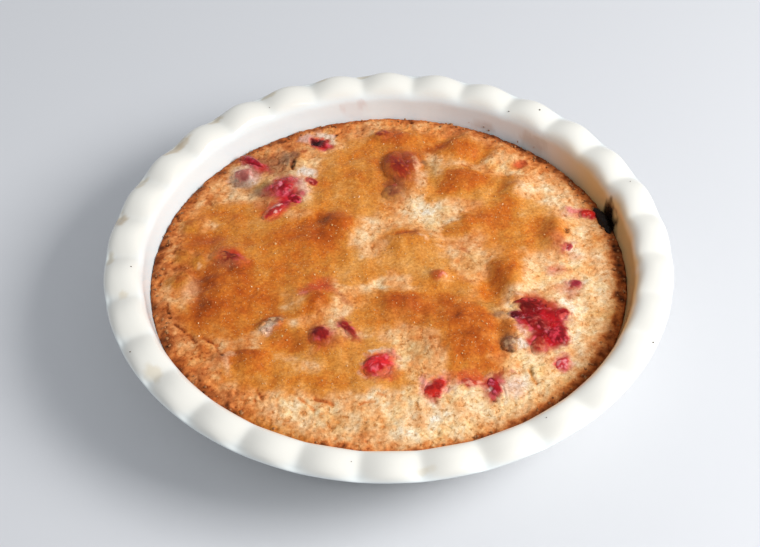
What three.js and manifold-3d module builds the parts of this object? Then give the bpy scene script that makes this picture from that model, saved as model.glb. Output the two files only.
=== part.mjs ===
// A Nantucket cranberry pie in its own white ceramic dish.
// Millimetres, +Z up. The origin is the middle of the dish's base.
import * as THREE from 'three';
import { mergeVertices } from 'three/addons/utils/BufferGeometryUtils.js';
import Module from 'manifold-3d';

const wasm = await Module();
wasm.setup();

const DEG = Math.PI / 180;
const TURN = 2 * Math.PI;

// Driving dimensions of the dish
// Each { r, h } is a radius and a height on its section.
const RIPPLES = 30;
const GROOVE_ANGLE = 11.4 * DEG; // where one of the grooves lies
const RIPPLE_DEPTH = 3.0;        // crest to groove, up and down
const SCALLOP_DEPTH = 1.2;       // crest to groove, in and out
const FLOOR_EDGE = { r: 86, h: 6 };
const WALL_PULL = { r: 115.5, h: 8 };
const WALL_TOP = { r: 120.6, h: 40 };
const BEND_PULL = { r: 121.8, h: 47.4 };
const FLANGE_CREST = { r: 130, h: 47.6 };
const FLANGE_PULL = { r: 137.5, h: 47.6 };
const LIP_MIDDLE = { r: 139.5, h: 43.8 };
const LIP_BOTTOM = { r: 138.8, h: 42.6 };
const UNDER_RIM = { r: 129.5, h: 41 };
const OUTER_WALL_TOP = { r: 125.6, h: 38 };
const OUTER_WALL_PULL = { r: 117, h: 4 };
const FOOT_TOP = { r: 97, h: 1.2 };
const FOOT_OUTER = 96.4;
const FOOT_INNER = 88;
const CRUST_STEP = 0.84;         // where the crust meets the wall, as a share of the wall's curve
const WALL_STEPS = [0, 0.3, 0.6, CRUST_STEP];
const OUTSIDE_STEPS = [1, 0.7, 0.4, 0.15, 0];
const RIM_SECTORS = 120;
const BODY_SECTORS = 60;
const FOOT_SLOPE = 1;            // how far the foot ring's inner side leans

// How much of the ripple each step along the bend and along the flange takes
const BEND_RIPPLE = [[0, 0], [0.4, 0.2], [0.7, 0.55], [1, 0.95]];
const FLANGE_RIPPLE = [[0.4, 1], [0.75, 0.85], [1, 0.3]];

// Driving dimensions of the pie
const GAP = 0.35;                // between the pie and what it touches
const CHORD_SLACK = 0.15;        // a sector's straight side lies this far inside its circle
const PIE_CENTRE_HEIGHT = 35.6;
const PIE_CROWN = 3.0;           // how much the middle stands above the shoulder
const SHOULDER_RADIUS = 110;
const SHOULDER_DROP = 2.0;
const SHOULDER_STEPS = [0.45, 0.8, 1];
const CRUST_RINGS = 18;          // rings of the crust's net, inside the shoulder
const RING_SECTORS = 6;          // each ring of the net has this many more than the last
const UNDERSIDE_SECTORS = 60;
const BELL_POWER = 1.3;          // over 1, a swell has a flatter top and a steeper side

// Berries and nuts under the crust lift it, and the batter sinks beside them.
// Each row: x, y, half length, half width, turn in degrees, height.
const SWELLS = [
  [60, -6, 14, 8, 105, 4.5], [-24, 32, 9, 9, 0, 3.2], [37, 63, 11, 9, 0, 2.8],
  [40, 93, 13, 8, 40, 2.6], [66, 58, 12, 8, 65, 2.2], [84, 24, 12, 7, 90, 2.6],
  [42, 30, 10, 7, 15, 2.2], [11, 16, 11, 10, 0, 2.4], [6, -24, 10, 8, 0, 2.4],
  [36, -44, 20, 19, 0, 3.2], [9, 72, 16, 9, 95, 3.6], [4, 99, 13, 7, 0, 2.4],
  [-36, -22, 11, 9, 0, 3.0], [-31, -44, 10, 8, 0, 1.8], [-66, -57, 8, 8, 0, 2.4],
  [-79, -57, 8, 5, 90, 1.5], [-82, -12, 22, 14, 90, 2.0], [-80, 12, 12, 9, 160, 1.5],
  [-55, 59, 12, 10, 40, 1.8], [-73, 77, 11, 9, 90, 1.8], [72, -36, 17, 14, 90, 1.6],
  [59, -44, 7, 6, 90, 2.0], [25, -7, 6, 5, 0, 1.6], [-48, 20, 24, 22, 0, 1.2],
  [62, 85, 8, 8, 0, 1.2], [-15, 70, 20, 16, 90, 1.2], [-55, -35, 7, 5, 0, 1.6],
];
const HOLLOWS = [
  [50, -13, 13, 6, 110, 2.4], [-35, 35, 7, 6, 90, 1.4], [28, 60, 8, 5, 90, 1.4],
  [33, 98, 12, 4, 39, 1.6], [50, 84, 9, 4, 50, 1.4], [58, 57, 10, 4, 65, 1.4],
  [77, 24, 12, 4, 90, 1.2], [-48, -50, 7, 6, 0, 1.8], [-93, -6, 12, 5, 90, 1.2],
  [53, -46, 12, 4, 90, 2.0], [12, 40, 18, 10, 160, 1.2], [-5, -9, 9, 6, 0, 1.0],
];

// Berries that show through the crust. Each row: x, y, half length and half width of what shows,
// half depth, turn in degrees, how far the top stands out.
const BERRIES = [
  [-70.8, 81.2, 7.2, 2.6, 2.8, 142, 1.2],
  [-74.5, 70.8, 5.6, 5.2, 4.5, 0, 1.9],
  [-35, 95.5, 6.5, 4.0, 3.8, 145, 0.8],
  [-53.5, 60.5, 6.5, 5.2, 4.2, 60, 1.5],
  [-48, 52, 4.2, 3.2, 3.2, 150, 1.1],
  [-38.8, 65, 3.8, 2.4, 2.8, 130, 1.0],
  [-57.5, 43, 6.5, 3.2, 3.4, 45, 1.0],
  [6, 72, 9.5, 5.2, 4.5, 105, 1.2],
  [4.5, 55, 5.5, 4.6, 4.2, 0, 1.1],
  [-1, 99.5, 5.5, 3.4, 3.6, 0, 1.0],
  [-79, 9, 7.5, 4.0, 3.6, 165, 1.0],
  [-33, -44.5, 5.8, 4.6, 4.2, 120, 1.2],
  [-20.5, -39.5, 6.4, 3.0, 3.4, 130, 1.0],
  [-5, -62, 7.0, 5.6, 4.4, 40, 1.3],
  [20.5, -77, 6.8, 4.6, 4.0, 60, 1.1],
  [37.5, -74.5, 6.0, 3.0, 3.2, 165, 0.9],
  [48.8, -77.5, 6.4, 3.2, 3.6, 110, 1.2],
  [68, -26, 8.6, 4.8, 4.8, 170, 1.6],
  [61.5, -33.2, 3.6, 3.0, 3.2, 0, 1.1],
  [83.3, -31.8, 4.6, 3.8, 3.8, 45, 1.2],
  [71.5, -37.5, 6.6, 5.0, 4.6, 150, 1.4],
  [80.3, -45, 6.6, 5.0, 4.6, 80, 1.5],
  [71, -51, 4.8, 4.2, 3.8, 90, 1.2],
  [81.6, -62.3, 4.6, 3.4, 3.4, 60, 1.2],
  [101.8, 39.4, 3.8, 2.6, 2.8, 0, 1.2],
  [91.3, -11, 3.8, 3.2, 3.2, 20, 1.0],
  [91, 14.3, 3.2, 1.8, 2.4, 50, 0.8],
];
const BERRY_FACET_DETAIL = 1;
const WRINKLE = 0.07;            // depth of a berry's creases, as a share of its size
const WRINKLE_SHIFT = 1.7;       // no two berries have their creases in the same place

// Pieces of nut: the same seven numbers
const NUTS = [
  [57.6, -50.5, 4.2, 3.6, 3.5, 70, 1.4],
  [-56.5, -36, 5.6, 3.4, 3.5, 25, 1.4],
];

// Juice that boiled over and burnt on the wall: its middle, half sizes and height
const BURNT = {
  angle: 17.6 * DEG, r: 115.2, halfAngle: 4.8 * DEG, halfWidth: 2.8, halfDepth: 3.4, rise: 2.6,
};
const BURNT_LUMP = 0.12;         // how uneven its top is, as a share of its half depth
const BURNT_FACETS = { around: 14, down: 8 };

// One point of a quadratic Bezier curve between a and c, drawn towards b.
function bend(a, b, c, t) {
  const curve = new THREE.QuadraticBezierCurve(
    new THREE.Vector2(a.r, a.h), new THREE.Vector2(b.r, b.h), new THREE.Vector2(c.r, c.h));
  const p = curve.getPoint(t);
  return { r: p.x, h: p.y };
}

// Ripple of the rim: 0 in a narrow groove, 1 on a broad crest, less its mean.
const RIPPLE_MEAN = 2 / Math.PI;
function ripple(angle) {
  return Math.abs(Math.sin(RIPPLES / 2 * (angle - GROOVE_ANGLE))) - RIPPLE_MEAN;
}

// A ring of a lathed body: its sector count, radius, height and share of the ripple.
function ring(sectors, p, share = 0) {
  const points = [];
  for (let i = 0; i < sectors; i++) {
    const angle = GROOVE_ANGLE + TURN * i / sectors;
    const wave = share * ripple(angle);
    const r = p.r + SCALLOP_DEPTH * wave;
    points.push([r * Math.cos(angle), r * Math.sin(angle), p.h + RIPPLE_DEPTH * wave]);
  }
  return points;
}

// Closed mesh through a row of rings that may differ in sector count.
// The first and last ring are closed by fans to a middle point.
function skin(firstPoint, rings, lastPoint) {
  const positions = [firstPoint];
  const faces = [];
  const starts = [];
  for (const points of rings) {
    starts.push(positions.length);
    positions.push(...points);
  }
  positions.push(lastPoint);
  const last = positions.length - 1;
  const count = rings.map((points) => points.length);
  for (let i = 0; i < count[0]; i++) {
    faces.push([0, starts[0] + i, starts[0] + (i + 1) % count[0]]);
  }
  for (let k = 0; k + 1 < rings.length; k++) {
    let i = 0;
    let j = 0;
    while (i < count[k] || j < count[k + 1]) {
      const a = starts[k] + i % count[k];
      const b = starts[k + 1] + j % count[k + 1];
      if ((i + 1) / count[k] <= (j + 1) / count[k + 1]) {
        faces.push([a, b, starts[k] + (i + 1) % count[k]]);
        i++;
      } else {
        faces.push([a, b, starts[k + 1] + (j + 1) % count[k + 1]]);
        j++;
      }
    }
  }
  const end = rings.length - 1;
  for (let i = 0; i < count[end]; i++) {
    faces.push([last, starts[end] + (i + 1) % count[end], starts[end] + i]);
  }
  const geometry = new THREE.BufferGeometry();
  geometry.setAttribute('position', new THREE.Float32BufferAttribute(positions.flat(), 3));
  geometry.setIndex(faces.flat());
  return geometry;
}

function toSolid(geometry) {
  return new wasm.Manifold(new wasm.Mesh({
    numProp: 3,
    vertProperties: Float32Array.from(geometry.attributes.position.array),
    triVerts: Uint32Array.from(geometry.index.array),
  }));
}

function toGeometry(solid) {
  const mesh = solid.getMesh();
  const geometry = new THREE.BufferGeometry();
  geometry.setAttribute('position', new THREE.BufferAttribute(mesh.vertProperties, 3));
  geometry.setIndex(new THREE.BufferAttribute(mesh.triVerts, 1));
  return geometry;
}

// The dish: floor, curved wall, bend, rippled flange, rounded lip, outside and foot ring.
// The ripple starts at the bend, is full on the flange and is gone at the lip's bottom.
function dishGeometry() {
  const body = (p) => ring(BODY_SECTORS, p);
  const rim = (p, share) => ring(RIM_SECTORS, p, share);
  const rings = WALL_STEPS.map((t) => body(bend(FLOOR_EDGE, WALL_PULL, WALL_TOP, t)));
  for (const [t, share] of BEND_RIPPLE) {
    rings.push(rim(bend(WALL_TOP, BEND_PULL, FLANGE_CREST, t), share));
  }
  for (const [t, share] of FLANGE_RIPPLE) {
    rings.push(rim(bend(FLANGE_CREST, FLANGE_PULL, LIP_MIDDLE, t), share));
  }
  rings.push(rim(LIP_BOTTOM, 0));
  rings.push(body(UNDER_RIM));
  for (const t of OUTSIDE_STEPS) {
    rings.push(body(bend(FOOT_TOP, OUTER_WALL_PULL, OUTER_WALL_TOP, t)));
  }
  rings.push(body({ r: FOOT_OUTER, h: 0 }));
  rings.push(body({ r: FOOT_INNER, h: 0 }));
  rings.push(body({ r: FOOT_INNER - FOOT_SLOPE, h: FOOT_TOP.h }));
  return skin([0, 0, FLOOR_EDGE.h], rings, [0, 0, FOOT_TOP.h]);
}

// Height of rounded swells and hollows at a place: a bell whose top is a little flat.
function bells(rows, x, y) {
  let sum = 0;
  for (const [cx, cy, a, b, turn, height] of rows) {
    const c = Math.cos(turn * DEG);
    const s = Math.sin(turn * DEG);
    const u = ((x - cx) * c + (y - cy) * s) / a;
    const v = ((y - cy) * c - (x - cx) * s) / b;
    sum += height * Math.exp(-Math.pow(u * u + v * v, BELL_POWER));
  }
  return sum;
}

// Gentle unevenness of baked batter, in long waves that never line up.
function unevenness(x, y) {
  return 0.35 * Math.sin(0.21 * x + 0.13 * y + 1.1) * Math.cos(0.17 * y - 0.09 * x)
    + 0.25 * Math.sin(0.41 * x - 0.33 * y + 2.3) * Math.cos(0.29 * x + 0.38 * y + 0.7);
}

// Height of the crust: a low crown, a rounded shoulder at the wall, swells and hollows.
function crustHeight(x, y) {
  const r = Math.hypot(x, y);
  const edge = PIE_EDGE_RADIUS;
  const t = Math.min(Math.max((r - SHOULDER_RADIUS) / (edge - SHOULDER_RADIUS), 0), 1);
  const crown = PIE_CENTRE_HEIGHT - PIE_CROWN * (r / SHOULDER_RADIUS) ** 2;
  const shoulder = SHOULDER_DROP * (1 - Math.sqrt(Math.max(1 - t * t, 0)));
  const relief = bells(SWELLS, x, y) - bells(HOLLOWS, x, y) + unevenness(x, y);
  return crown - shoulder + relief * (1 - t * t);
}

// The inner wall's curve where the crust meets it, and the pie's edge beside it.
const WALL_AT_CRUST = bend(FLOOR_EDGE, WALL_PULL, WALL_TOP, CRUST_STEP);
const PIE_EDGE_RADIUS = WALL_AT_CRUST.r - GAP - CHORD_SLACK;

// The pie: the crust's net of rings, then down beside the wall and in under the filling.
function pieGeometry() {
  const rings = [];
  for (let k = 1; k <= CRUST_RINGS; k++) {
    rings.push(crustRing(RING_SECTORS * k, SHOULDER_RADIUS * k / CRUST_RINGS));
  }
  for (const t of SHOULDER_STEPS) {
    const radius = SHOULDER_RADIUS + (PIE_EDGE_RADIUS - SHOULDER_RADIUS) * t;
    rings.push(crustRing(RING_SECTORS * CRUST_RINGS, radius));
  }
  for (const t of WALL_STEPS.slice(0, -1).reverse()) {
    const wall = bend(FLOOR_EDGE, WALL_PULL, WALL_TOP, t);
    rings.push(ring(UNDERSIDE_SECTORS, { r: wall.r - 2 * GAP, h: wall.h + 2 * GAP }));
  }
  const first = [0, 0, crustHeight(0, 0)];
  return skin(first, rings, [0, 0, FLOOR_EDGE.h + 2 * GAP]);
}

function crustRing(sectors, radius) {
  const points = [];
  for (let i = 0; i < sectors; i++) {
    const angle = GROOVE_ANGLE + TURN * i / sectors;
    const x = radius * Math.cos(angle);
    const y = radius * Math.sin(angle);
    points.push([x, y, crustHeight(x, y)]);
  }
  return points;
}

// A baked berry or bit of nut: an egg with soft creases, sunk in the crust up to its rise.
// The egg is wider than what shows of it, because its waist is below the crust.
// extra grows it on every side, for the pocket that it lies in.
function eggGeometry([x, y, shownLength, shownWidth, c, turn, rise], index, extra = 0) {
  const shown = Math.sqrt(1 - ((c - rise) / c) ** 2);
  const a = shownLength / shown;
  const b = shownWidth / shown;
  const ball = new THREE.IcosahedronGeometry(1, BERRY_FACET_DETAIL);
  ball.deleteAttribute('normal');
  ball.deleteAttribute('uv');
  const egg = mergeVertices(ball, 1e-4);
  const place = egg.attributes.position;
  const phase = WRINKLE_SHIFT * index;
  for (let i = 0; i < place.count; i++) {
    const u = place.getX(i);
    const v = place.getY(i);
    const w = place.getZ(i);
    const crease = 1 + WRINKLE * Math.sin(4 * u + phase) * Math.cos(5 * v - phase);
    place.setXYZ(i, u * (a * crease + extra), v * (b * crease + extra), w * (c * crease + extra));
  }
  egg.rotateZ(turn * DEG);
  egg.translate(x, y, crustHeight(x, y) + rise - c);
  return egg;
}

// Burnt juice: a flat egg bent along the wall.
function burntGeometry(extra = 0) {
  const ball = new THREE.SphereGeometry(1, BURNT_FACETS.around, BURNT_FACETS.down);
  ball.deleteAttribute('normal');
  ball.deleteAttribute('uv');
  const blob = mergeVertices(ball, 1e-4);
  const place = blob.attributes.position;
  const height = crustHeight(BURNT.r * Math.cos(BURNT.angle), BURNT.r * Math.sin(BURNT.angle));
  for (let i = 0; i < place.count; i++) {
    const along = place.getX(i);
    const across = place.getZ(i);
    const up = -place.getY(i);
    const angle = BURNT.angle + along * (BURNT.halfAngle + extra / BURNT.r);
    const r = BURNT.r + across * (BURNT.halfWidth + extra);
    const lump = 1 + BURNT_LUMP * Math.sin(5 * along + 1.3);
    const z = height + BURNT.rise - BURNT.halfDepth + up * (BURNT.halfDepth * lump + extra);
    place.setXYZ(i, r * Math.cos(angle), r * Math.sin(angle), z);
  }
  return outward(blob);
}

// Turns every triangle round if the closed mesh came out inside out.
function outward(geometry) {
  const p = geometry.attributes.position;
  const index = geometry.index;
  let volume = 0;
  const corner = [new THREE.Vector3(), new THREE.Vector3(), new THREE.Vector3()];
  for (let i = 0; i < index.count; i += 3) {
    corner.forEach((v, k) => v.fromBufferAttribute(p, index.getX(i + k)));
    volume += corner[0].dot(corner[1].clone().cross(corner[2]));
  }
  if (volume < 0) {
    for (let i = 0; i < index.count; i += 3) {
      const b = index.getX(i + 1);
      index.setX(i + 1, index.getX(i + 2));
      index.setX(i + 2, b);
    }
  }
  return geometry;
}

const group = new THREE.Group();

function addMesh(name, geometry, color, roughness) {
  const material = new THREE.MeshStandardMaterial({ color, roughness, metalness: 0 });
  const mesh = new THREE.Mesh(outward(geometry), material);
  mesh.name = name;
  group.add(mesh);
}

addMesh('dish', dishGeometry(), 0xf1efe8, 0.2);

// What lies in the crust: each has a maker that can grow it on every side, for its pocket.
const inlays = [];
function addInlay(name, make, color, roughness) {
  inlays.push({ name, make, color, roughness });
}
BERRIES.forEach((row, i) => {
  addInlay(`cranberry_${i + 1}`, (extra) => eggGeometry(row, i, extra), 0xb01522, 0.3);
});
NUTS.forEach((row, i) => {
  addInlay(`nut_piece_${i + 1}`, (extra) => eggGeometry(row, i, extra), 0x9a7656, 0.7);
});
addInlay('burnt_juice', burntGeometry, 0x17100e, 0.6);

// Pockets are cut in the crust, and an inlay gives way to those made before it.
let pie = toSolid(outward(pieGeometry()));
for (const [i, inlay] of inlays.entries()) {
  let solid = toSolid(outward(inlay.make(0)));
  for (const earlier of inlays.slice(0, i)) {
    solid = solid.subtract(earlier.pocket);
  }
  inlay.pocket = toSolid(outward(inlay.make(GAP)));
  pie = pie.subtract(inlay.pocket);
  addMesh(inlay.name, toGeometry(solid), inlay.color, inlay.roughness);
}
addMesh('pie', toGeometry(pie), 0xd08f4c, 0.7);

export default group;
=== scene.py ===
"""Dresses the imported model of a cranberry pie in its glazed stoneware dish.

Lengths are in millimetres up to the moment when a mesh is made, and in metres from there.
The origin is the middle of the dish's base, with +Z up and the photograph's viewer towards -Y.
"""
import math

import bpy
import numpy as np
from bpy.props import FloatProperty, FloatVectorProperty, IntProperty, PointerProperty
from bpy.types import Operator, Panel, PropertyGroup
from mathutils import Matrix, Vector


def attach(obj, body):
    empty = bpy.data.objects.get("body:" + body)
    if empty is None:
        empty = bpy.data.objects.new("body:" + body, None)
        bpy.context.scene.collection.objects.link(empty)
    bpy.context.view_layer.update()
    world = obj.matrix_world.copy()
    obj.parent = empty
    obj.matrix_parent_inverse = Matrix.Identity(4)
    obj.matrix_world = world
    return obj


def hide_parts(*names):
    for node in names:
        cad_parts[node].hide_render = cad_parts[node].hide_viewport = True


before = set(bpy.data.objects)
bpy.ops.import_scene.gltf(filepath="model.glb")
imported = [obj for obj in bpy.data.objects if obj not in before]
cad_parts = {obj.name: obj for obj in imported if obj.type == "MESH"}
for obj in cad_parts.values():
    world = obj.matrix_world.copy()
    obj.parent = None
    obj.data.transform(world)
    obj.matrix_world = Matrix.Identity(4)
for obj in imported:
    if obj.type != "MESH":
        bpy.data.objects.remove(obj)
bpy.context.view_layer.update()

bl_info = {
    "name": "Cranberry pie in its dish",
    "version": (1, 0, 0),
    "blender": (4, 5, 0),
    "location": "View3D > Sidebar > Pie",
    "description": "Makes the dish, the crust, the berries and the small things on them",
    "category": "Add Mesh",
}

MM = 0.001

# The dish's section, as in the part's source: each pair is a radius and a height.
RIPPLES = 30
GROOVE_ANGLE = math.radians(11.4)
RIPPLE_MEAN = 2 / math.pi
GROOVE_ROUNDING = 0.2
FLOOR_EDGE = (86, 6)
WALL_PULL = (115.5, 8)
WALL_TOP = (120.6, 40)
BEND_PULL = (121.8, 47.4)
FLANGE_CREST = (130, 47.6)
FLANGE_PULL = (137.5, 47.6)
LIP_MIDDLE = (139.5, 43.8)
LIP_PULL = (139.6, 42.1)
LIP_UNDER = (136.6, 42.0)
UNDER_PULL = (127.0, 41.2)
OUTER_WALL_TOP = (125.4, 37)
OUTER_WALL_PULL = (117, 4)
FOOT_TOP = (97, 1.2)
FOOT_OUTER = 96.4
FOOT_INNER = 88

# The pie, as in the part's source
GAP = 0.35
PIE_EDGE_RADIUS = 117.85
PIE_CENTRE_HEIGHT = 35.6
PIE_CROWN = 3.0
SHOULDER_RADIUS = 110
SHOULDER_DROP = 2.0
BELL_POWER = 1.3

# x, y, half length, half width, turn in degrees, height
SWELLS = (
    (60, -6, 14, 8, 105, 4.5), (-24, 32, 9, 9, 0, 3.2), (37, 63, 11, 9, 0, 2.8),
    (40, 93, 13, 8, 40, 2.6), (66, 58, 12, 8, 65, 2.2), (84, 24, 12, 7, 90, 2.6),
    (42, 30, 10, 7, 15, 2.2), (11, 16, 11, 10, 0, 2.4), (6, -24, 10, 8, 0, 2.4),
    (36, -44, 20, 19, 0, 3.2), (9, 72, 16, 9, 95, 3.6), (4, 99, 13, 7, 0, 2.4),
    (-36, -22, 11, 9, 0, 3.0), (-31, -44, 10, 8, 0, 1.8), (-66, -57, 8, 8, 0, 2.4),
    (-79, -57, 8, 5, 90, 1.5), (-82, -12, 22, 14, 90, 2.0), (-80, 12, 12, 9, 160, 1.5),
    (-55, 59, 12, 10, 40, 1.8), (-73, 77, 11, 9, 90, 1.8), (72, -36, 17, 14, 90, 1.6),
    (59, -44, 7, 6, 90, 2.0), (25, -7, 6, 5, 0, 1.6), (-48, 20, 24, 22, 0, 1.2),
    (62, 85, 8, 8, 0, 1.2), (-15, 70, 20, 16, 90, 1.2), (-55, -35, 7, 5, 0, 1.6),
)
HOLLOWS = (
    (50, -13, 13, 6, 110, 2.4), (-35, 35, 7, 6, 90, 1.4), (28, 60, 8, 5, 90, 1.4),
    (33, 98, 12, 4, 39, 1.6), (50, 84, 9, 4, 50, 1.4), (58, 57, 10, 4, 65, 1.4),
    (77, 24, 12, 4, 90, 1.2), (-48, -50, 7, 6, 0, 1.8), (-93, -6, 12, 5, 90, 1.2),
    (53, -46, 12, 4, 90, 2.0), (12, 40, 18, 10, 160, 1.2), (-5, -9, 9, 6, 0, 1.0),
)

# Blisters and small pits, too fine for the part's source, in the same order
BLISTERS = (
    (-100, 34, 4.4, 3.8, 0, 2.0), (-103, 12, 4.2, 3.8, 0, 1.9), (-95, 8, 3.6, 4.8, 0, 1.7),
    (-104, -5, 5.4, 4.2, 0, 2.1), (-96, -8, 3.6, 2.6, 40, 0.7), (-83, -57, 3.4, 3.6, 0, 0.9),
    (25, -6.5, 4.0, 3.4, 0, 1.0), (-9, -7, 4.2, 3.0, 0, 0.8), (-36, -21, 4.4, 4.0, 0, 1.4),
    (-26, -14, 5.0, 2.6, -30, 0.7), (17, 22, 2.6, 4.0, 30, 0.8), (71, 77, 2.2, 2.8, 0, -1.0),
    (60, 62, 3.4, 4.4, 20, 0.8), (-65, -62, 4.6, 4.0, 0, 0.8), (-46, -38, 5.6, 3.0, 20, 0.7),
    (86, 30, 3.0, 6.0, 0, 0.8), (-38, 18, 7.0, 9.0, 0, 0.6), (15, 78, 4.0, 7.0, -10, 0.8),
)

# Colours of what the oven does to batter, by how far it baked: the caramel skin and the open crumb
CARAMEL = (
    (0.00, "#f6dfbc"), (0.15, "#eec794"), (0.30, "#e5b072"), (0.45, "#da984c"), (0.58, "#cf8230"),
    (0.68, "#c56c20"), (0.78, "#b15412"), (0.88, "#863c06"), (1.00, "#4c2006"),
)
TOASTED = (
    (0.00, "#f4e2c4"), (0.12, "#efd2a6"), (0.25, "#eabd8a"), (0.40, "#e2a46a"), (0.55, "#d4864a"),
    (0.68, "#bc6a34"), (0.80, "#964e22"), (0.90, "#6a3412"), (1.00, "#3a1a0a"),
)
# Tints of stains; the pit tint is painted shade in a hollow and the peach highlight tint a painted
# highlight
TINTS = {
    "crimson": "#ae0e18", "deep red": "#740604", "scarlet": "#d81e1a", "coral": "#c8502c",
    "rose": "#d8787c", "magenta": "#c42446", "flour": "#e6d9cc", "pink flour": "#dcb4a8",
    "mauve": "#86523c", "grey": "#6e5648", "olive": "#9a7434", "rust": "#a8481c",
    "soot": "#1c0f08", "amber": "#c07c22", "peach highlight": "#ecbc92",
    "pit": "#2c0404",
}

# Where sugar and butter made a smooth caramel skin.
# x, y, half length, half width, turn, and how far it baked, from 0 for raw to 1 for black
SKINS = (
    (-66, 33, 31, 15, -14, 0.60), (-50, 12, 32, 25, 0, 0.66), (-78, -17, 23, 24, 0, 0.74),
    (-62, -24, 24, 19, -12, 0.72), (-93, 22, 15, 8, -20, 0.68), (-26, 32, 12, 12, 0, 0.70),
    (-30, 6, 14, 18, 0, 0.66), (-16, 2, 14, 12, 0, 0.56), (-18, 66, 19, 26, 0, 0.58),
    (-12, 84, 16, 13, 0, 0.58), (-26, 48, 18, 8, 0, 0.54), (-3, 60, 12, 12, 0, 0.56),
    (7, 76, 11, 15, 0, 0.70), (7, 97, 13, 8, -5, 0.66), (38, 90, 18, 10, -12, 0.72),
    (42, 99, 8, 5, 0, 0.70), (40, 65, 21, 9, 0, 0.72), (29, 57, 10, 9, 0, 0.64),
    (48, 53, 12, 7, 0, 0.52), (66, 28, 20, 17, 0, 0.71), (62, 44, 9, 9, 0, 0.56),
    (76, 45, 9, 6, 0, 0.46), (60, 57, 10, 5, 60, 0.58), (42, 29, 11, 8, 15, 0.70),
    (10, 14, 15, 12, 0, 0.60), (17, 2, 14, 9, 0, 0.56), (26, -12, 16, 9, 0, 0.58),
    (60, -4, 7, 11, -12, 0.58), (51, -13, 6, 14, -20, 0.66), (4, -26, 15, 11, 0, 0.72),
    (27, -31, 21, 12, -20, 0.76), (38, -48, 15, 17, 0, 0.74), (38, -63, 13, 10, 0, 0.66),
    (-12, -36, 12, 8, 0, 0.60), (-38, -20, 12, 8, 20, 0.66), (-50, -46, 13, 8, 15, 0.74),
    (-66, -58, 12, 11, 0, 0.74), (-44, -68, 26, 9, 0, 0.62), (-22, -68, 18, 10, 0, 0.58),
    (-30, -54, 26, 7, 0, 0.56), (25, -6.5, 3.8, 3.2, 0, 0.72), (-9, -7, 4.4, 3.2, 0, 0.68),
    (3, -72, 9, 6, 0, 0.60), (-6, -52, 9, 5, 0, 0.50),
)
# Where it stayed a pale, open crumb, in the same order
CRUMBS = (
    (-12, 24, 8, 12, -25, 0.26), (-7, 12, 6, 8, -10, 0.36), (13, 45, 12, 6, -15, 0.26),
    (24, 38, 12, 6, -10, 0.23), (38, 46, 10, 5, 0, 0.30), (12, 51, 6, 4, 30, 0.30),
    (17, 66, 3, 8, 5, 0.24), (22, 84, 4, 5, 20, 0.28), (42, 11, 7, 10, 10, 0.38),
    (46, 18, 4, 9, 0, 0.32), (37, -6, 7, 6, 0, 0.38), (-3, -11, 6, 3.4, 0, 0.30),
    (8, -9, 5, 4, 0, 0.28), (26, -9, 3.2, 2.4, 0, 0.22), (9, -46, 9, 5, 0, 0.36),
    (15, -57, 9, 9, 0, 0.36), (14, -65, 6, 5, 0, 0.24), (-45, 39, 5, 4, 0, 0.40),
    (-41, 82, 8, 7, 0, 0.30), (-12, 104, 5, 9, 0, 0.32), (-28, 93, 7, 5, 0, 0.40),
    (52, 74, 14, 3.4, 0, 0.36), (62, 82, 8, 11, 0, 0.34), (30, 105, 12, 4, -10, 0.36),
    (-75, -47, 14, 5, 0, 0.28), (-64, -41, 6, 3, 20, 0.34), (-43, -34, 6, 4, 0, 0.26),
    (-27, -27, 8, 5, 0, 0.38), (-22, -14, 5, 4, -20, 0.36), (-50, -57, 5, 3, 0, 0.32),
    (62, -67, 8, 8, 0, 0.04), (22, -97, 13, 8, 0, 0.08), (-28, -92, 10, 5, 0, 0.20),
    (97, -30, 7, 22, -10, 0.20), (-38, -62, 8, 4, 0, 0.36), (-37, -55, 5, 2.6, 0, 0.30),
    (-72, 54, 14, 7, -10, 0.42), (70, -6, 8, 6, 0, 0.34), (52, -62, 5, 5, 0, 0.40),
    (62, -46, 6, 4, 60, 0.28), (-97, -12, 5, 10, 0, 0.30), (-48, -21, 6.5, 5.5, 0, 0.26),
    (-6, 105, 7, 4.5, 0, 0.20), (26, 102, 5, 4, 0, 0.28), (-95, 31, 5.5, 5, 0, 0.30),
    (12, -15, 6, 3.4, 0, 0.28), (66, 70, 6, 4, 0, 0.20), (-71, -50, 6, 3, 0, 0.22),
)
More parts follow.
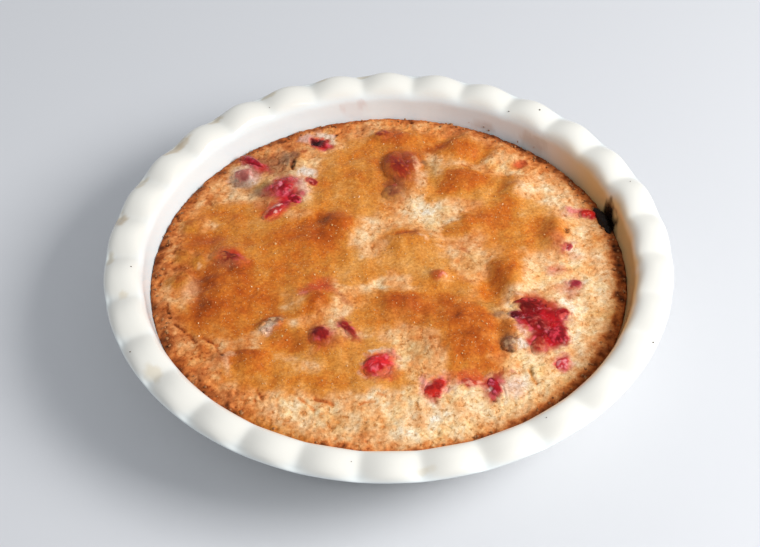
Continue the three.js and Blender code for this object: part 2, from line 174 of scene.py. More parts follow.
# Places that baked darker than what is round them, and painted shade on the flanks of swells turned
# away from the light and in the valleys beside them, in the same order
SINGED_AND_SHADED = (
    (-35, 34, 5, 6, 0, 0.88), (-45, 24, 12, 13, 0, 0.74), (-35, 14, 8, 14, 0, 0.76),
    (-88, -7, 8, 9, 0, 0.86), (-85, -22, 13, 9, 0, 0.80), (-71, -13, 3.5, 3, 0, 0.88),
    (-80, 3, 7, 4, -20, 0.82), (-97, 20, 6, 4, 0, 0.80), (30, 61, 4.5, 6, 10, 0.86),
    (3, 84, 4, 4, 0, 0.88), (34, 97, 9, 2.6, 40, 0.80), (24, 91, 5, 3, 20, 0.74),
    (48, 83, 7, 2.6, 55, 0.74), (59, 57, 6, 2.2, 60, 0.72), (81, 27, 2.6, 11, 4, 0.70),
    (62, 46, 3.5, 5, -10, 0.66), (50, -12, 4, 12, -14, 0.72), (46, -20, 5, 5, 0, 0.76),
    (55, 5, 5, 3.4, 0, 0.62), (2, -22, 5, 4.5, 0, 0.84), (35, -36, 12, 8, 0, 0.74),
    (45, -68, 5, 4, -20, 0.78), (-36, -20, 4.5, 4.5, 0, 0.86), (-48, -48, 8, 5.5, 10, 0.82),
    (-67, -57, 6, 6, 0, 0.84), (-83, -58, 7, 6, 20, 0.90), (-60, 92, 12, 5, 30, 0.74),
    (-24, 104, 8, 3, 20, 0.56), (8, 24, 7, 1.6, 18, 0.84), (-22, 33, 3.5, 8, 0, 0.70),
    (-104, 3, 5, 9, 0, 0.56), (10, -93, 5, 6, 20, 0.44), (30, -86, 6, 4, 0, 0.46),
    (-10, -100, 10, 3, 0, 0.44), (97, 57, 2.4, 1.8, 0, 0.62), (71, 77, 3, 2.6, 0, 0.72),
    (-101, 36, 2.4, 2.8, 0, 0.76), (-103, 12, 2.2, 2.4, 0, 0.72), (-95, 9, 2.6, 3.4, 0, 0.70),
    (-104, -4, 3.4, 2.8, 0, 0.80), (-14, -93, 12, 6, 0, 0.52), (9, -98, 6, 6, 0, 0.50),
    (-48, -98, 16, 7, -25, 0.62), (2, -3, 6, 4, 0, 0.74), (-2, 47, 6, 5, 0, 0.80),
    (79, 10, 7, 4, 0, 0.66),
)
# What berries and flour stain, with painted highlights and painted shade on blisters and in a hollow:
# tint, x, y, half length, half width, turn, strength, softness
STAINS = (
    ("mauve", -60, 81, 12, 7, 20, 0.72, 0.60), ("grey", -51, 86, 5, 3.5, 30, 0.55, 0.50),
    ("grey", -65, 58, 5.4, 5.0, 30, 0.80, 0.60), ("mauve", -56, 73, 6, 5, 0, 0.40, 0.60),
    ("olive", -66, 64, 7, 4, 0, 0.45, 0.60), ("flour", -42, 73, 5.5, 3.6, -30, 0.95, 0.35),
    ("pink flour", -47, 65, 4.5, 4.5, 0, 0.85, 0.45),
    ("pink flour", -44, 58, 3.4, 5, 0, 0.70, 0.50), ("soot", -49.6, 80, 1.1, 3.4, -5, 0.90, 0.40),
    ("flour", -74.5, 70, 7.4, 7.4, 0, 0.52, 0.40), ("grey", -77, 65.5, 4.4, 1.6, -30, 0.60, 0.50),
    ("flour", -71, 66, 4, 2.2, 30, 0.65, 0.45), ("rose", -70, 71.5, 4.4, 4.6, 0, 0.55, 0.60),
    ("mauve", -68.5, 73, 2.6, 4.4, 30, 0.55, 0.60), ("mauve", -75, 65.5, 5, 3, -20, 0.60, 0.60),
    ("crimson", -70, 79.5, 10, 3.8, 142, 0.90, 0.40),
    ("pink flour", -42.5, 101, 4, 3, 30, 0.80, 0.45),
    ("flour", -33, 102.5, 5, 2.6, -30, 0.75, 0.45), ("flour", -29.5, 97.5, 2.4, 3, 0, 0.50, 0.50),
    ("scarlet", -35, 95.6, 6.6, 4.2, 140, 0.93, 0.35),
    # the pit tint is painted shade in the hollow of the burst berry
    ("pit", -37.4, 96.8, 2.6, 2.3, 0, 0.97, 0.40), ("scarlet", -31, 92.5, 4, 2.2, 150, 0.80, 0.40),
    ("rust", -43.5, 90, 1.6, 1.8, 0, 0.75, 0.50), ("crimson", -54, 60, 10, 7.5, 55, 0.92, 0.35),
    ("crimson", -49.5, 52.5, 6.5, 5.6, 40, 0.90, 0.40), ("magenta", -53, 56, 4, 4, 0, 0.60, 0.50),
    ("crimson", -51, 66, 5, 2.4, 20, 0.65, 0.50), ("scarlet", -39, 65, 4, 2.6, 130, 0.80, 0.40),
    ("rust", -64, 47, 5, 5, 45, 0.60, 0.55), ("crimson", -54, 48, 6, 4, 50, 0.70, 0.55),
    ("scarlet", -57, 43.5, 7.5, 4.6, 45, 0.70, 0.60),
    ("pink flour", -58, 44.5, 3.4, 1.6, 50, 0.80, 0.50),
    ("magenta", -52, 47, 4, 2.4, 40, 0.55, 0.60), ("rust", -92, 23, 10, 4.5, -15, 0.55, 0.55),
    # on the blisters at the left rim the rust on their left side is painted shade, and the peach
    # highlight beside them is a painted highlight
    ("amber", -100, 34.5, 4.8, 4.2, 0, 0.70, 0.50), ("rust", -100.5, 35.5, 3.0, 2.4, 0, 0.55, 0.50),
    ("amber", -103, 12, 4.2, 4.0, 0, 0.70, 0.50), ("rust", -103.5, 12.5, 2.2, 2.2, 0, 0.50, 0.50),
    ("amber", -95, 8, 3.6, 4.8, 0, 0.65, 0.50), ("peach highlight", -94, 5.6, 1.0, 2.0, 0, 0.60, 0.50),
    ("coral", -79, 9, 9.5, 4.6, 160, 0.65, 0.60), ("crimson", -77, 9.5, 6.5, 3.0, 160, 0.60, 0.60),
    ("mauve", -80, 4.5, 5, 3, 0, 0.50, 0.60), ("peach highlight", -97.5, -11, 4, 6.5, 0, 0.45, 0.60),
    ("amber", -104, -5, 5.4, 4.2, 0, 0.75, 0.50), ("rust", -104, -4, 3.6, 2.6, 0, 0.60, 0.50),
    ("rust", 9, 73, 10, 14, -5, 0.50, 0.80), ("deep red", 9.5, 71.5, 4.8, 10.5, -8, 0.85, 0.75),
    # the peach highlight on the dome's lit right edge is a painted highlight over pale crumbs
    ("rust", 11, 78, 6, 9, 0, 0.50, 0.60), ("peach highlight", 16.5, 74, 1.4, 7, 8, 0.65, 0.55),
    ("grey", 20, 78, 1.8, 3, 0, 0.60, 0.50), ("mauve", 4.5, 55.5, 7.0, 5.6, 0, 0.60, 0.75),
    ("deep red", 2, 59, 3.6, 3, 0, 0.35, 0.60), ("rust", 3.5, 99.5, 8, 5.2, 0, 0.75, 0.60),
    ("olive", 24, 76, 4, 6, 0, 0.40, 0.60), ("olive", 24, 67, 3, 7, 0, 0.35, 0.60),
    ("mauve", 65, 59.5, 4, 2.2, 0, 0.45, 0.60), ("coral", 71, 77, 3.8, 3, 0, 0.85, 0.50),
    ("rust", 38, 12.5, 3.4, 1.4, -40, 0.55, 0.50), ("coral", 82, -1, 4.4, 2.8, 20, 0.55, 0.60),
    # the peach highlight is a painted highlight on the blister's lit side
    ("coral", 25, -6.5, 3.6, 3, 0, 0.60, 0.50), ("peach highlight", 28, -8, 1.4, 1.1, 0, 0.85, 0.40),
    ("coral", 85, 20, 3.6, 4.6, 0, 0.40, 0.60), ("coral", 93.5, 39.5, 4.6, 3, -10, 0.60, 0.60),
    ("rose", 95, 42.2, 4.6, 1.8, -14, 0.80, 0.45),
    ("scarlet", 103.5, 39.2, 6.4, 3.2, -10, 0.97, 0.35), ("soot", 90.6, 26, 0.9, 2, 0, 0.85, 0.45),
    ("crimson", 89.6, 14.2, 5.0, 1.8, 45, 0.75, 0.50), ("rust", 85.5, 17, 3.4, 4.5, 0, 0.55, 0.55),
    # the peach highlight is a painted highlight on the lump's lit side
    ("rust", 14.5, 22.5, 2.2, 3.2, 35, 0.55, 0.60), ("peach highlight", 18, 20.5, 1.1, 3, 35, 0.70, 0.50),
    # the rust at the left of the blister here is painted shade
    ("mauve", 10, 24.2, 6, 1.3, 18, 0.36, 0.60), ("rust", 22.5, -5.5, 2.6, 2.6, 0, 0.55, 0.55),
    ("rose", 27, -7.2, 2.4, 1.2, 0, 0.50, 0.50), ("rust", 8, -29, 12, 8, 0, 0.35, 0.70),
    ("olive", 42, 2, 5, 7, 0, 0.30, 0.70), ("olive", 15, -55, 6, 5, 0, 0.32, 0.70),
    ("olive", 49, -27, 5, 3, -20, 0.45, 0.60), ("grey", 53, -31.5, 3.6, 1.6, 0, 0.65, 0.50),
    ("grey", 57, -50.5, 4.6, 4.4, 0, 0.60, 0.50), ("soot", 60.6, -48.8, 0.9, 2.4, -10, 0.70, 0.45),
    ("soot", 57.5, -55, 2.4, 0.9, -10, 0.60, 0.45), ("flour", 63.8, -51.5, 2.8, 2.4, 0, 0.95, 0.40),
    ("pink flour", 63.6, -43.5, 1.6, 5.4, 35, 0.75, 0.45),
    ("soot", 65.6, -52, 0.6, 0.8, 0, 0.80, 0.40), ("crimson", 71.8, -28.5, 9.4, 8, 150, 0.97, 0.22),
    ("crimson", 64.0, -36.5, 4.8, 6.6, 30, 0.97, 0.22),
    ("crimson", 79, -32.5, 9, 5.5, -20, 0.95, 0.25), ("crimson", 74, -38, 11, 8, -20, 0.97, 0.22),
    ("crimson", 78.5, -44, 7.5, 9, 10, 0.97, 0.22), ("crimson", 72, -50, 6, 6.4, 0, 0.93, 0.28),
    ("crimson", 76, -47, 7, 4, 0, 0.90, 0.30), ("deep red", 69.8, -27.5, 5, 3.4, 40, 0.80, 0.50),
    ("deep red", 61.5, -33, 4, 3, -30, 0.80, 0.45), ("deep red", 71, -41, 6, 4, -40, 0.55, 0.60),
    ("rust", 70, -19, 7, 2.4, 15, 0.50, 0.55), ("coral", 77, -25, 9, 3.6, -25, 0.65, 0.60),
    ("coral", 71, -55, 3.6, 2.4, 0, 0.60, 0.50), ("rose", 82, -62, 3.8, 5, -20, 0.60, 0.45),
    ("scarlet", 82, -62, 4.0, 5.0, -20, 0.92, 0.40), ("rust", 76, -60.2, 1.3, 1.0, 0, 0.75, 0.50),
    ("crimson", 91, -11.5, 4.0, 3.8, 0, 0.85, 0.50), ("coral", 89, -18, 2.6, 4, 0, 0.45, 0.70),
    ("mauve", 89, -18, 3.4, 3.6, 0, 0.30, 0.60), ("rose", 83, -3, 5, 2.4, 20, 0.35, 0.60),
    ("scarlet", -5, -62, 8.2, 6.2, 30, 0.93, 0.32),
    ("deep red", -9, -60.5, 4.4, 1.3, 10, 0.80, 0.50),
    ("flour", -7.5, -53.8, 2.6, 1.2, 10, 0.75, 0.45),
    ("scarlet", 21.4, -77.4, 7.8, 4.8, 55, 0.92, 0.38), ("rose", 15.5, -75, 2.6, 4, 0, 0.65, 0.50),
    ("rust", 21, -85, 2.4, 3.2, 0, 0.60, 0.55), ("pink flour", 28, -78, 3, 2, 40, 0.55, 0.50),
    ("coral", 38, -71.5, 9.5, 3.6, -8, 0.85, 0.50), ("rose", 37, -75.5, 7, 1.6, -10, 0.60, 0.50),
    ("crimson", 48, -76.5, 4.0, 8.5, -16, 0.93, 0.38),
    ("flour", 45.8, -78.6, 1.5, 1.4, 0, 0.85, 0.45), ("soot", 47.2, -84.2, 0.9, 0.6, 0, 0.90, 0.40),
    ("pink flour", 57, -76, 6, 6, 0, 0.60, 0.55), ("rust", 50.5, -68.6, 4.6, 0.8, 30, 0.60, 0.45),
    ("rose", 58, -68.6, 2.4, 0.6, -20, 0.50, 0.45), ("olive", 66.5, -67, 1.4, 3.4, -10, 0.60, 0.50),
    ("olive", 71.5, -62.5, 1.6, 1.4, 0, 0.55, 0.50), ("amber", 66.5, -72, 1.2, 3, 10, 0.60, 0.50),
    ("crimson", -32.5, -45, 5.6, 6.4, 20, 0.85, 0.60),
    ("deep red", -33, -44.5, 3.6, 4.4, 20, 0.65, 0.60),
    ("crimson", -20, -40.5, 3.4, 7.6, 40, 0.90, 0.50),
    ("deep red", -18.5, -42.5, 2, 4, 40, 0.60, 0.60), ("rust", -27, -47, 6, 3.4, 0, 0.40, 0.60),
    ("coral", -35, -12, 7.5, 4.4, 35, 0.90, 0.60), ("coral", -29.5, -14, 5, 2.2, -30, 0.60, 0.50),
    ("rust", -22, -20.5, 4.5, 1.8, -45, 0.55, 0.50), ("rose", -42.5, -17.5, 2, 2.6, 0, 0.45, 0.55),
    ("flour", -58, -38.6, 5, 2.2, 25, 0.55, 0.60),
    ("mauve", -54.5, -33.5, 4.6, 2.2, 30, 0.60, 0.55), ("rust", -61, -34.5, 4, 1.8, 30, 0.40, 0.55),
    # painted highlights by the small domes at the front left
    ("peach highlight", -77.5, -60.5, 1.8, 4.6, 10, 0.70, 0.60), ("peach highlight", -76, -53.5, 2, 1.4, 0, 0.55, 0.60),
    ("olive", -55, -43, 3.4, 3.4, 0, 0.35, 0.60), ("coral", -3.5, -69, 7, 3.4, 8, 0.80, 0.50),
    ("amber", -52, -100, 16, 5, -27, 0.50, 0.60), ("amber", -18, -97, 13, 5, -8, 0.36, 0.60),
    ("coral", 84, -14, 4.5, 3.6, 0, 0.42, 0.60), ("coral", 92, 8.5, 4.5, 3.4, 0, 0.36, 0.60),
)

# Berries that show, as in the part's source: x, y, half length, half width, half depth, turn, rise.
# Then how each looks: main tint, shade, light tint, how much of the light tint, and its wetness.
BERRIES = (
    (-70.8, 81.2, 7.2, 2.6, 2.8, 142, 1.2, "#a80f24", "#5e0410", "#d04058", 0.25, 0.9),
    (-74.5, 70.8, 5.6, 5.2, 4.5, 0, 1.9, "#b4685c", "#84403c", "#d8a498", 0.32, 0.3),
    (-35, 95.5, 6.5, 4.0, 3.8, 145, 0.8, "#b4141e", "#2c0204", "#e05058", 0.25, 0.9),
    (-53.5, 60.5, 6.5, 5.2, 4.2, 60, 1.5, "#c20c22", "#72040e", "#ec8090", 0.34, 0.8),
    (-48, 52, 4.2, 3.2, 3.2, 150, 1.1, "#b40c1c", "#6e0410", "#d84058", 0.30, 0.9),
    (-38.8, 65, 3.8, 2.4, 2.8, 130, 1.0, "#b43028", "#7a1210", "#d87068", 0.30, 0.6),
    (-57.5, 43, 6.5, 3.2, 3.4, 45, 1.0, "#c02c30", "#9c2018", "#f0b4a8", 0.60, 0.4),
    (6, 72, 9.5, 5.2, 4.5, 105, 1.2, "#9a2c10", "#761008", "#bc561c", 0.30, 0.45),
    (4.5, 55, 5.5, 4.6, 4.2, 0, 1.1, "#a45c34", "#7c3c24", "#bc8450", 0.35, 0.3),
    (-1, 99.5, 5.5, 3.4, 3.6, 0, 1.0, "#a43c14", "#84280c", "#c06028", 0.30, 0.7),
    (-79, 9, 7.5, 4.0, 3.6, 165, 1.0, "#8e2c14", "#661208", "#bc6434", 0.35, 0.5),
    (-33, -44.5, 5.8, 4.6, 4.2, 120, 1.2, "#8c1210", "#5c0608", "#b44028", 0.25, 0.45),
    (-20.5, -39.5, 6.4, 3.0, 3.4, 130, 1.0, "#a01c18", "#70080a", "#c4543c", 0.30, 0.45),
    (-5, -62, 7.0, 5.6, 4.4, 40, 1.3, "#e0282e", "#a80e18", "#f46c78", 0.38, 0.9),
    (20.5, -77, 6.8, 4.6, 4.0, 60, 1.1, "#c4261a", "#8c0e0a", "#e46a5c", 0.30, 0.9),
    (37.5, -74.5, 6.0, 3.0, 3.2, 165, 0.9, "#cc5034", "#b03420", "#e49078", 0.35, 0.6),
    (48.8, -77.5, 6.4, 3.2, 3.6, 110, 1.2, "#ac101c", "#70040e", "#dc6078", 0.25, 1.0),
    (68, -26, 8.6, 4.8, 4.8, 170, 1.6, "#8e100c", "#560402", "#c03430", 0.35, 1.0),
    (61.5, -33.2, 3.6, 3.0, 3.2, 0, 1.1, "#6c0610", "#38020a", "#c86a7c", 0.30, 1.0),
    (83.3, -31.8, 4.6, 3.8, 3.8, 45, 1.2, "#b01820", "#800810", "#cc4a44", 0.35, 0.9),
    (71.5, -37.5, 6.6, 5.0, 4.6, 150, 1.4, "#961818", "#640808", "#b84a40", 0.40, 0.9),
    (80.3, -45, 6.6, 5.0, 4.6, 80, 1.5, "#ac1020", "#6c040e", "#cc3444", 0.30, 1.0),
    (71, -51, 4.8, 4.2, 3.8, 90, 1.2, "#a82c1c", "#861410", "#c8664c", 0.35, 0.7),
    (81.6, -62.3, 4.6, 3.4, 3.4, 60, 1.2, "#c8343c", "#a01c20", "#e88c90", 0.40, 0.8),
    (101.8, 39.4, 3.8, 2.6, 2.8, 0, 1.2, "#d82a20", "#b01410", "#e86858", 0.25, 0.9),
    (91.3, -11, 3.8, 3.2, 3.2, 20, 1.0, "#b83440", "#8c2430", "#e49c98", 0.42, 0.6),
    (91, 14.3, 3.2, 1.8, 2.4, 50, 0.8, "#c03c40", "#a03034", "#f0b0a8", 0.45, 0.6),
)
# The floury berry is told by its y; the one that burst and sank and the floury nut by their number
FLOURY = 70.8
SUNKEN_BERRY = 3
FLOURY_NUT = 2
# The bits of nut in the same order, up to the rise
NUTS = (
    (57.6, -50.5, 4.2, 3.6, 3.5, 70, 1.4),
    (-56.5, -36, 5.6, 3.4, 3.5, 25, 1.4),
)
# Juice that boiled over and burnt: angle, radius, half angle, half width, half depth, rise
BURNT = (math.radians(17.6), 115.2, math.radians(4.8), 2.8, 3.4, 2.6)

# Cracks and tears in the crumb: start and end, how wide, how deep
CRACKS = (
    (-38, 97.8, -36.6, 96.9, 1.9, 1.9), (-109, -19, -107, -28, 0.8, 1.0),
    (-104, -33, -99, -37, 0.8, 0.9), (-96, -40, -93, -45, 1.0, 1.0), (-90, -42, -82, -48, 0.9, 0.9),
    (-84, -47, -80, -55, 0.7, 0.7), (-42, -82, -36, -88, 0.9, 0.9), (-35, -82, -28, -85, 1.2, 0.9),
    (-14, -86, -8, -84, 0.9, 0.8), (-62, -76, -60, -82, 0.7, 0.7), (-6, -80, -3, -81, 0.7, 0.7),
    (65, -66, 68, -74, 0.8, 0.9), (72, 62, 73, 70, 0.6, 0.5), (-49.6, 77, -49.4, 83, 0.9, 1.6),
    (44, 74, 40, 77, 0.6, 0.6), (17, 86, 20, 71, 0.5, 0.7), (-68, 83, -59, 87, 0.5, 0.6),
    (-63, 78, -54, 83, 0.5, 0.6), (-58, 73, -53, 79, 0.5, 0.6), (60.8, -46.5, 60, -51, 0.6, 0.8),
    (56, -55.4, 60, -54.6, 0.6, 0.6), (90.5, 24.4, 90.7, 27.8, 0.8, 1.6),
    (3, 22.6, 14, 26, 0.6, 0.5), (-93, 55, -90, 49, 0.7, 0.6), (-108, 44, -106, 39, 0.8, 0.8),
    (23, -28, 27, -39, 0.3, 0.2), (-24, 106, -27, 101, 0.7, 0.6), (47, -83.6, 48, -84.6, 0.7, 0.9),
)


def smooth(t):
    """Smooth step from 0 to 1: 3t^2 - 2t^3 on t held between 0 and 1."""
    t = np.clip(t, 0.0, 1.0)
    return t * t * (3 - 2 * t)


def lattice(ix, iy, iz, seed):
    """A random number from 0 to 1 for each whole-numbered place: its coordinates, each times
    a large odd number, are added, and then folded and multiplied three times."""
    h = (ix.astype(np.uint64) * np.uint64(374761393) + iy.astype(np.uint64) * np.uint64(668265263)
         + iz.astype(np.uint64) * np.uint64(1440662683) + np.uint64(seed * 97531))
    for factor in (1274126177, 1103515245, 1597334677):
        h = (h ^ (h >> np.uint64(15))) * np.uint64(factor)
    return ((h >> np.uint64(24)) & np.uint64(0xFFFFFF)).astype(float) / 0xFFFFFF


# Turns each octave of the noise, brings it to about -1 to 1, and keeps its lattice above zero
TURNED = np.array([(0.36, 0.48, -0.8), (-0.8, 0.6, 0.0), (0.48, 0.64, 0.6)])
NOISE_GAIN = 1.6
LATTICE_SHIFT = 1000


def noise(x, y, z, size, octaves=1, seed=1):
    """Smooth random field from -1 to 1. Random numbers on a lattice of that size are blended
    by smooth steps. Each octave's lattice is turned, so that no grid shows, and each further
    one is half as large and half as strong."""
    p = np.stack(np.broadcast_arrays(*[np.asarray(c, float) / size for c in (x, y, z)]))
    total = np.zeros(p.shape[1:])
    strength, most = 1.0, 0.0
    for octave in range(octaves):
        p = np.tensordot(TURNED, p, 1)
        whole = np.floor(p)
        part = smooth(p - whole)
        value = 0.0
        for corner in range(8):
            step = (corner & 1, corner >> 1 & 1, corner >> 2)
            weight = 1.0
            for t, s in zip(part, step):
                weight = weight * (t if s else 1 - t)
            place = [w + s + LATTICE_SHIFT for w, s in zip(whole, step)]
            value = value + weight * lattice(*place, seed + octave)
        total = total + strength * (2 * value - 1)
        most += strength
        strength, p = strength / 2, p * 2
    return total / most * NOISE_GAIN


def bells(rows, x, y):
    """Sum of bells: each is its height times e to the minus (u^2 + v^2) to a power, where u and v
    are the distances along its two axes in half lengths."""
    total = np.zeros_like(x)
    for cx, cy, a, b, turn, height in rows:
        c, s = math.cos(math.radians(turn)), math.sin(math.radians(turn))
        u = ((x - cx) * c + (y - cy) * s) / a
        v = ((y - cy) * c - (x - cx) * s) / b
        total += height * np.exp(-(u * u + v * v) ** BELL_POWER)
    return total


def unevenness(x, y):
    """Long waves that never line up, as in the part's source: two products of a sine and a cosine."""
    return (0.35 * np.sin(0.21 * x + 0.13 * y + 1.1) * np.cos(0.17 * y - 0.09 * x)
            + 0.25 * np.sin(0.41 * x - 0.33 * y + 2.3) * np.cos(0.29 * x + 0.38 * y + 0.7))


def crust_height(x, y):
    """Height of the crust: a crown that falls with the square of the radius, a shoulder that
    drops as a quarter circle, and swells and hollows that fade out at the edge."""
    r = np.hypot(x, y)
    t = np.clip((r - SHOULDER_RADIUS) / (PIE_EDGE_RADIUS - SHOULDER_RADIUS), 0, 1)
    crown = PIE_CENTRE_HEIGHT - PIE_CROWN * (r / SHOULDER_RADIUS) ** 2
    shoulder = SHOULDER_DROP * (1 - np.sqrt(np.maximum(1 - t * t, 0)))
    relief = bells(SWELLS, x, y) - bells(HOLLOWS, x, y) + unevenness(x, y)
    return crown - shoulder + relief * (1 - t * t)


def reach(x, y, cx, cy, a, b, turn):
    """Distance from the middle of an ellipse, where 1 is its outline."""
    c, s = math.cos(math.radians(turn)), math.sin(math.radians(turn))
    return np.hypot(((x - cx) * c + (y - cy) * s) / a, ((y - cy) * c - (x - cx) * s) / b)


def cover(x, y, cx, cy, a, b, turn, soft):
    """Share from 0 to 1 that a patch covers: a smooth step across the outline of an ellipse."""
    return smooth((1 + soft - reach(x, y, cx, cy, a, b, turn)) / (2 * soft))


def linear(text):
    """Linear red, green and blue of an sRGB hex colour."""
    c = np.array([int(text[i:i + 2], 16) / 255 for i in (1, 3, 5)])
    return np.where(c <= 0.04045, c / 12.92, ((c + 0.055) / 1.055) ** 2.4)


def baked_colour(level, shades):
    """Colour of batter by how far it baked, read off a row of colours."""
    at = [row[0] for row in shades]
    colours = np.array([linear(row[1]) for row in shades])
    return np.stack([np.interp(level, at, colours[:, k]) for k in range(3)], axis=-1)


def crack_depth(x, y):
    """How deep the cracks are at a place: for each, its depth times a bell of the distance from
    its line, over its width."""
    wander = 0.8 * noise(x, y, 0, 3.0, 2, 71)
    total = np.zeros_like(x)
    for x0, y0, x1, y1, width, depth in CRACKS:
        near = (np.abs(x - (x0 + x1) / 2) < 14) & (np.abs(y - (y0 + y1) / 2) < 14)
        px, py = x[near], y[near]
        dx, dy = x1 - x0, y1 - y0
        t = np.clip(((px - x0) * dx + (py - y0) * dy) / (dx * dx + dy * dy), 0, 1)
        gap = np.hypot(px - x0 - t * dx + wander[near], py - y0 - t * dy - wander[near])
        total[near] = np.maximum(total[near], depth * np.exp(-(gap / width) ** 2))
    return total


def baked_level(x, y, base):
    """How far the batter baked, and how much of it is caramel skin. Each patch has a weight that
    falls as e to the minus 1.5 times its distance to the power 2.4, and the values of all patches
    and of the base are averaged by weight. Then singed places and painted shade on the flanks of
    swells pull the level up by soft bells."""
    weights = np.full_like(x, 0.14)
    level, skin = weights * base, np.zeros_like(x)
    for rows, share in ((SKINS, 1), (CRUMBS, 0)):
        for cx, cy, a, b, turn, baked in rows:
            w = np.exp(-1.5 * reach(x, y, cx, cy, a, b, turn) ** 2.4)
            weights += w
            level += w * baked
            skin += w * share
    level, skin = level / weights, skin / weights
    for cx, cy, a, b, turn, baked in SINGED_AND_SHADED:
        level += (baked - level) * 0.6 * np.exp(-1.1 * reach(x, y, cx, cy, a, b, turn) ** 2)
    return level, skin


# Rings of the rim: the radius from which each begins to bake further, and how far it gets
TOASTED_RING, TOASTED_LEVEL = 96.5, 0.52
BROWN_RING, BROWN_LEVEL = 110.8, 0.68
# the dark ring is a browned edge all round, and painted shadow of the dish wall where it is wider and
# darker, on the side toward the key light
DARK_RING, DARK_LEVEL = 114.6, 0.80
SKIN_END = 102
# Painted shade: how much darker the cracks and the pores in the crumb are painted
CRACK_SHADE, PORE_SHADE = 0.32, 0.20
# Where the burnt juice soaked into the crust: x, y, half length, half width
SOOT = (112, 35, 3.6, 8.6)
WET_TINTS = ("crimson", "deep red", "scarlet", "magenta")
DEEP_JAM, PINK_JAM = "#5e0406", "#f0687c"


def crust_look(x, y):
    """What the crust looks like at each place: how far it baked, stirred by noise and darkened by
    painted shade in cracks, pores and shaded flanks and by the painted shadow of the dish wall, is
    turned to a colour of skin or crumb, and then stains, painted highlights and shade, and the floury
    flecks round the berries lie over it. Gives the colour, the share of open crumb and the wetness."""
    r = np.hypot(x, y)
    # places are shifted at random, which makes every outline wander
    wx = x + 3.4 * noise(x, y, 0, 11, 2, 11) + 1.3 * noise(x, y, 0, 3.2, 2, 12)
    wy = y + 3.4 * noise(x, y, 9, 11, 2, 11) + 1.3 * noise(x, y, 9, 3.2, 2, 12)
    left = smooth((-x - 55) / 60) * smooth((y + 75) / 60)
    base = 0.27 + 0.20 * left - 0.13 * smooth((-y - 65) / 30) + 0.05 * smooth((y - 40) / 60)
    base = base + 0.14 * smooth((-x - 30) / 80) * smooth((r - 85) / 15) - 0.04 * smooth((x - 62) / 25)
    level, skin = baked_level(wx, wy, base)
    mottle = noise(x, y, 0, 5.2, 2, 14)
    fleck = noise(x, y, 0, 1.8, 2, 15)
    skin = smooth(0.5 + 1.5 * (skin - 0.5) + 0.22 * mottle + 0.16 * fleck)
    rim = r + 1.8 * noise(x, y, 0, 4.0, 3, 13)
    # the side toward the key light, where the dish wall casts its shadow on the crust's edge; the
    # toasted ring begins further out there
    wall_shadow_side = smooth((0.94 * x - 0.34 * y + 60) / 150)
    toasted = smooth((rim - TOASTED_RING - 7.5 * wall_shadow_side) / 11.5)
    level += (TOASTED_LEVEL - level) * toasted * (0.8 + 0.2 * left)
    level += (BROWN_LEVEL - level) * smooth((rim - BROWN_RING) / 3.6)
    # the edge is browned all round, and deeper and wider on that side as painted shadow of the wall
    dark = smooth((rim - DARK_RING + 1.5 * wall_shadow_side) / 2.6) * (0.5 + 0.5 * wall_shadow_side)
    level += (DARK_LEVEL - level) * dark
    skin *= 1 - smooth((rim - SKIN_END) / 9)
    crumb = 1 - skin
    # what stands proud browns more
    level += 0.018 * (bells(SWELLS, x, y) - 0.6 * bells(HOLLOWS, x, y)) * (1 - toasted)
    level += (0.07 + 0.03 * crumb) * noise(x, y, 0, 12, 2, 19)
    level += (0.055 + 0.08 * crumb) * mottle
    level += (0.04 + 0.07 * crumb) * fleck
    # painted shade in the cracks and open pores of the crumb
    level += CRACK_SHADE * crumb * smooth(crack_depth(x, y) * 1.6)
    level += PORE_SHADE * crumb * open_pores(x, y)
    level = np.clip(level, 0, 1)
    colour = baked_colour(level, CARAMEL)
    colour += (baked_colour(level, TOASTED) - colour) * crumb[..., None]
    # redder here and more golden there
    hue = noise(x, y, 0, 8, 3, 20)
    colour[..., 1] *= 1 + 0.12 * hue
    colour[..., 2] *= 1 + 0.34 * hue
    wet = np.zeros_like(x)
    sx = x + 1.4 * noise(x, y, 0, 3.6, 2, 44) + 0.6 * noise(x, y, 0, 1.4, 1, 45)
    sy = y + 1.4 * noise(x, y, 9, 3.6, 2, 44) + 0.6 * noise(x, y, 9, 1.4, 1, 45)
    # flour and sugar crystallised in flecks round the berries
    for row in BERRIES:
        if row[11] < 0.75 and row[1] != FLOURY:
            continue
        near = reach(sx, sy, row[0], row[1], row[2], row[3], row[5])
        ring = smooth((1.75 - near) / 0.5) * smooth((near - 0.85) / 0.2)
        flecks = smooth(0.35 + 1.2 * noise(x, y, 0, 2.2, 2, 46)) * ring
        colour += (linear(TINTS["flour"]) - colour) * (row[10] * flecks)[..., None]
    for tint, cx, cy, a, b, turn, strength, soft in STAINS:
        m = strength * cover(sx, sy, cx, cy, a, b, turn, min(1.2 * soft, 0.9))
        colour += (linear(TINTS[tint]) - colour) * m[..., None]
        if tint in WET_TINTS:
            wet += (1 - wet) * m
        else:
            wet *= 1 - 0.5 * m
    # jam is dark where it lies deep, and pink where skin and sugar show
    deep = wet * smooth(0.45 + 1.1 * noise(x, y, 0, 3.6, 2, 47))
    colour += (linear(DEEP_JAM) - colour) * (0.48 * deep)[..., None]
    blush = wet * smooth(1.5 * noise(x, y, 0, 2.0, 2, 48) - 0.3)
    colour += (linear(PINK_JAM) - colour) * (0.55 * blush)[..., None]
    burnt = cover(sx, sy, *SOOT, math.degrees(BURNT[0]), 0.3)
    colour += (linear(TINTS["soot"]) - colour) * (0.9 * burnt)[..., None]
    return np.clip(colour, 0, 1), crumb * (1 - wet), wet


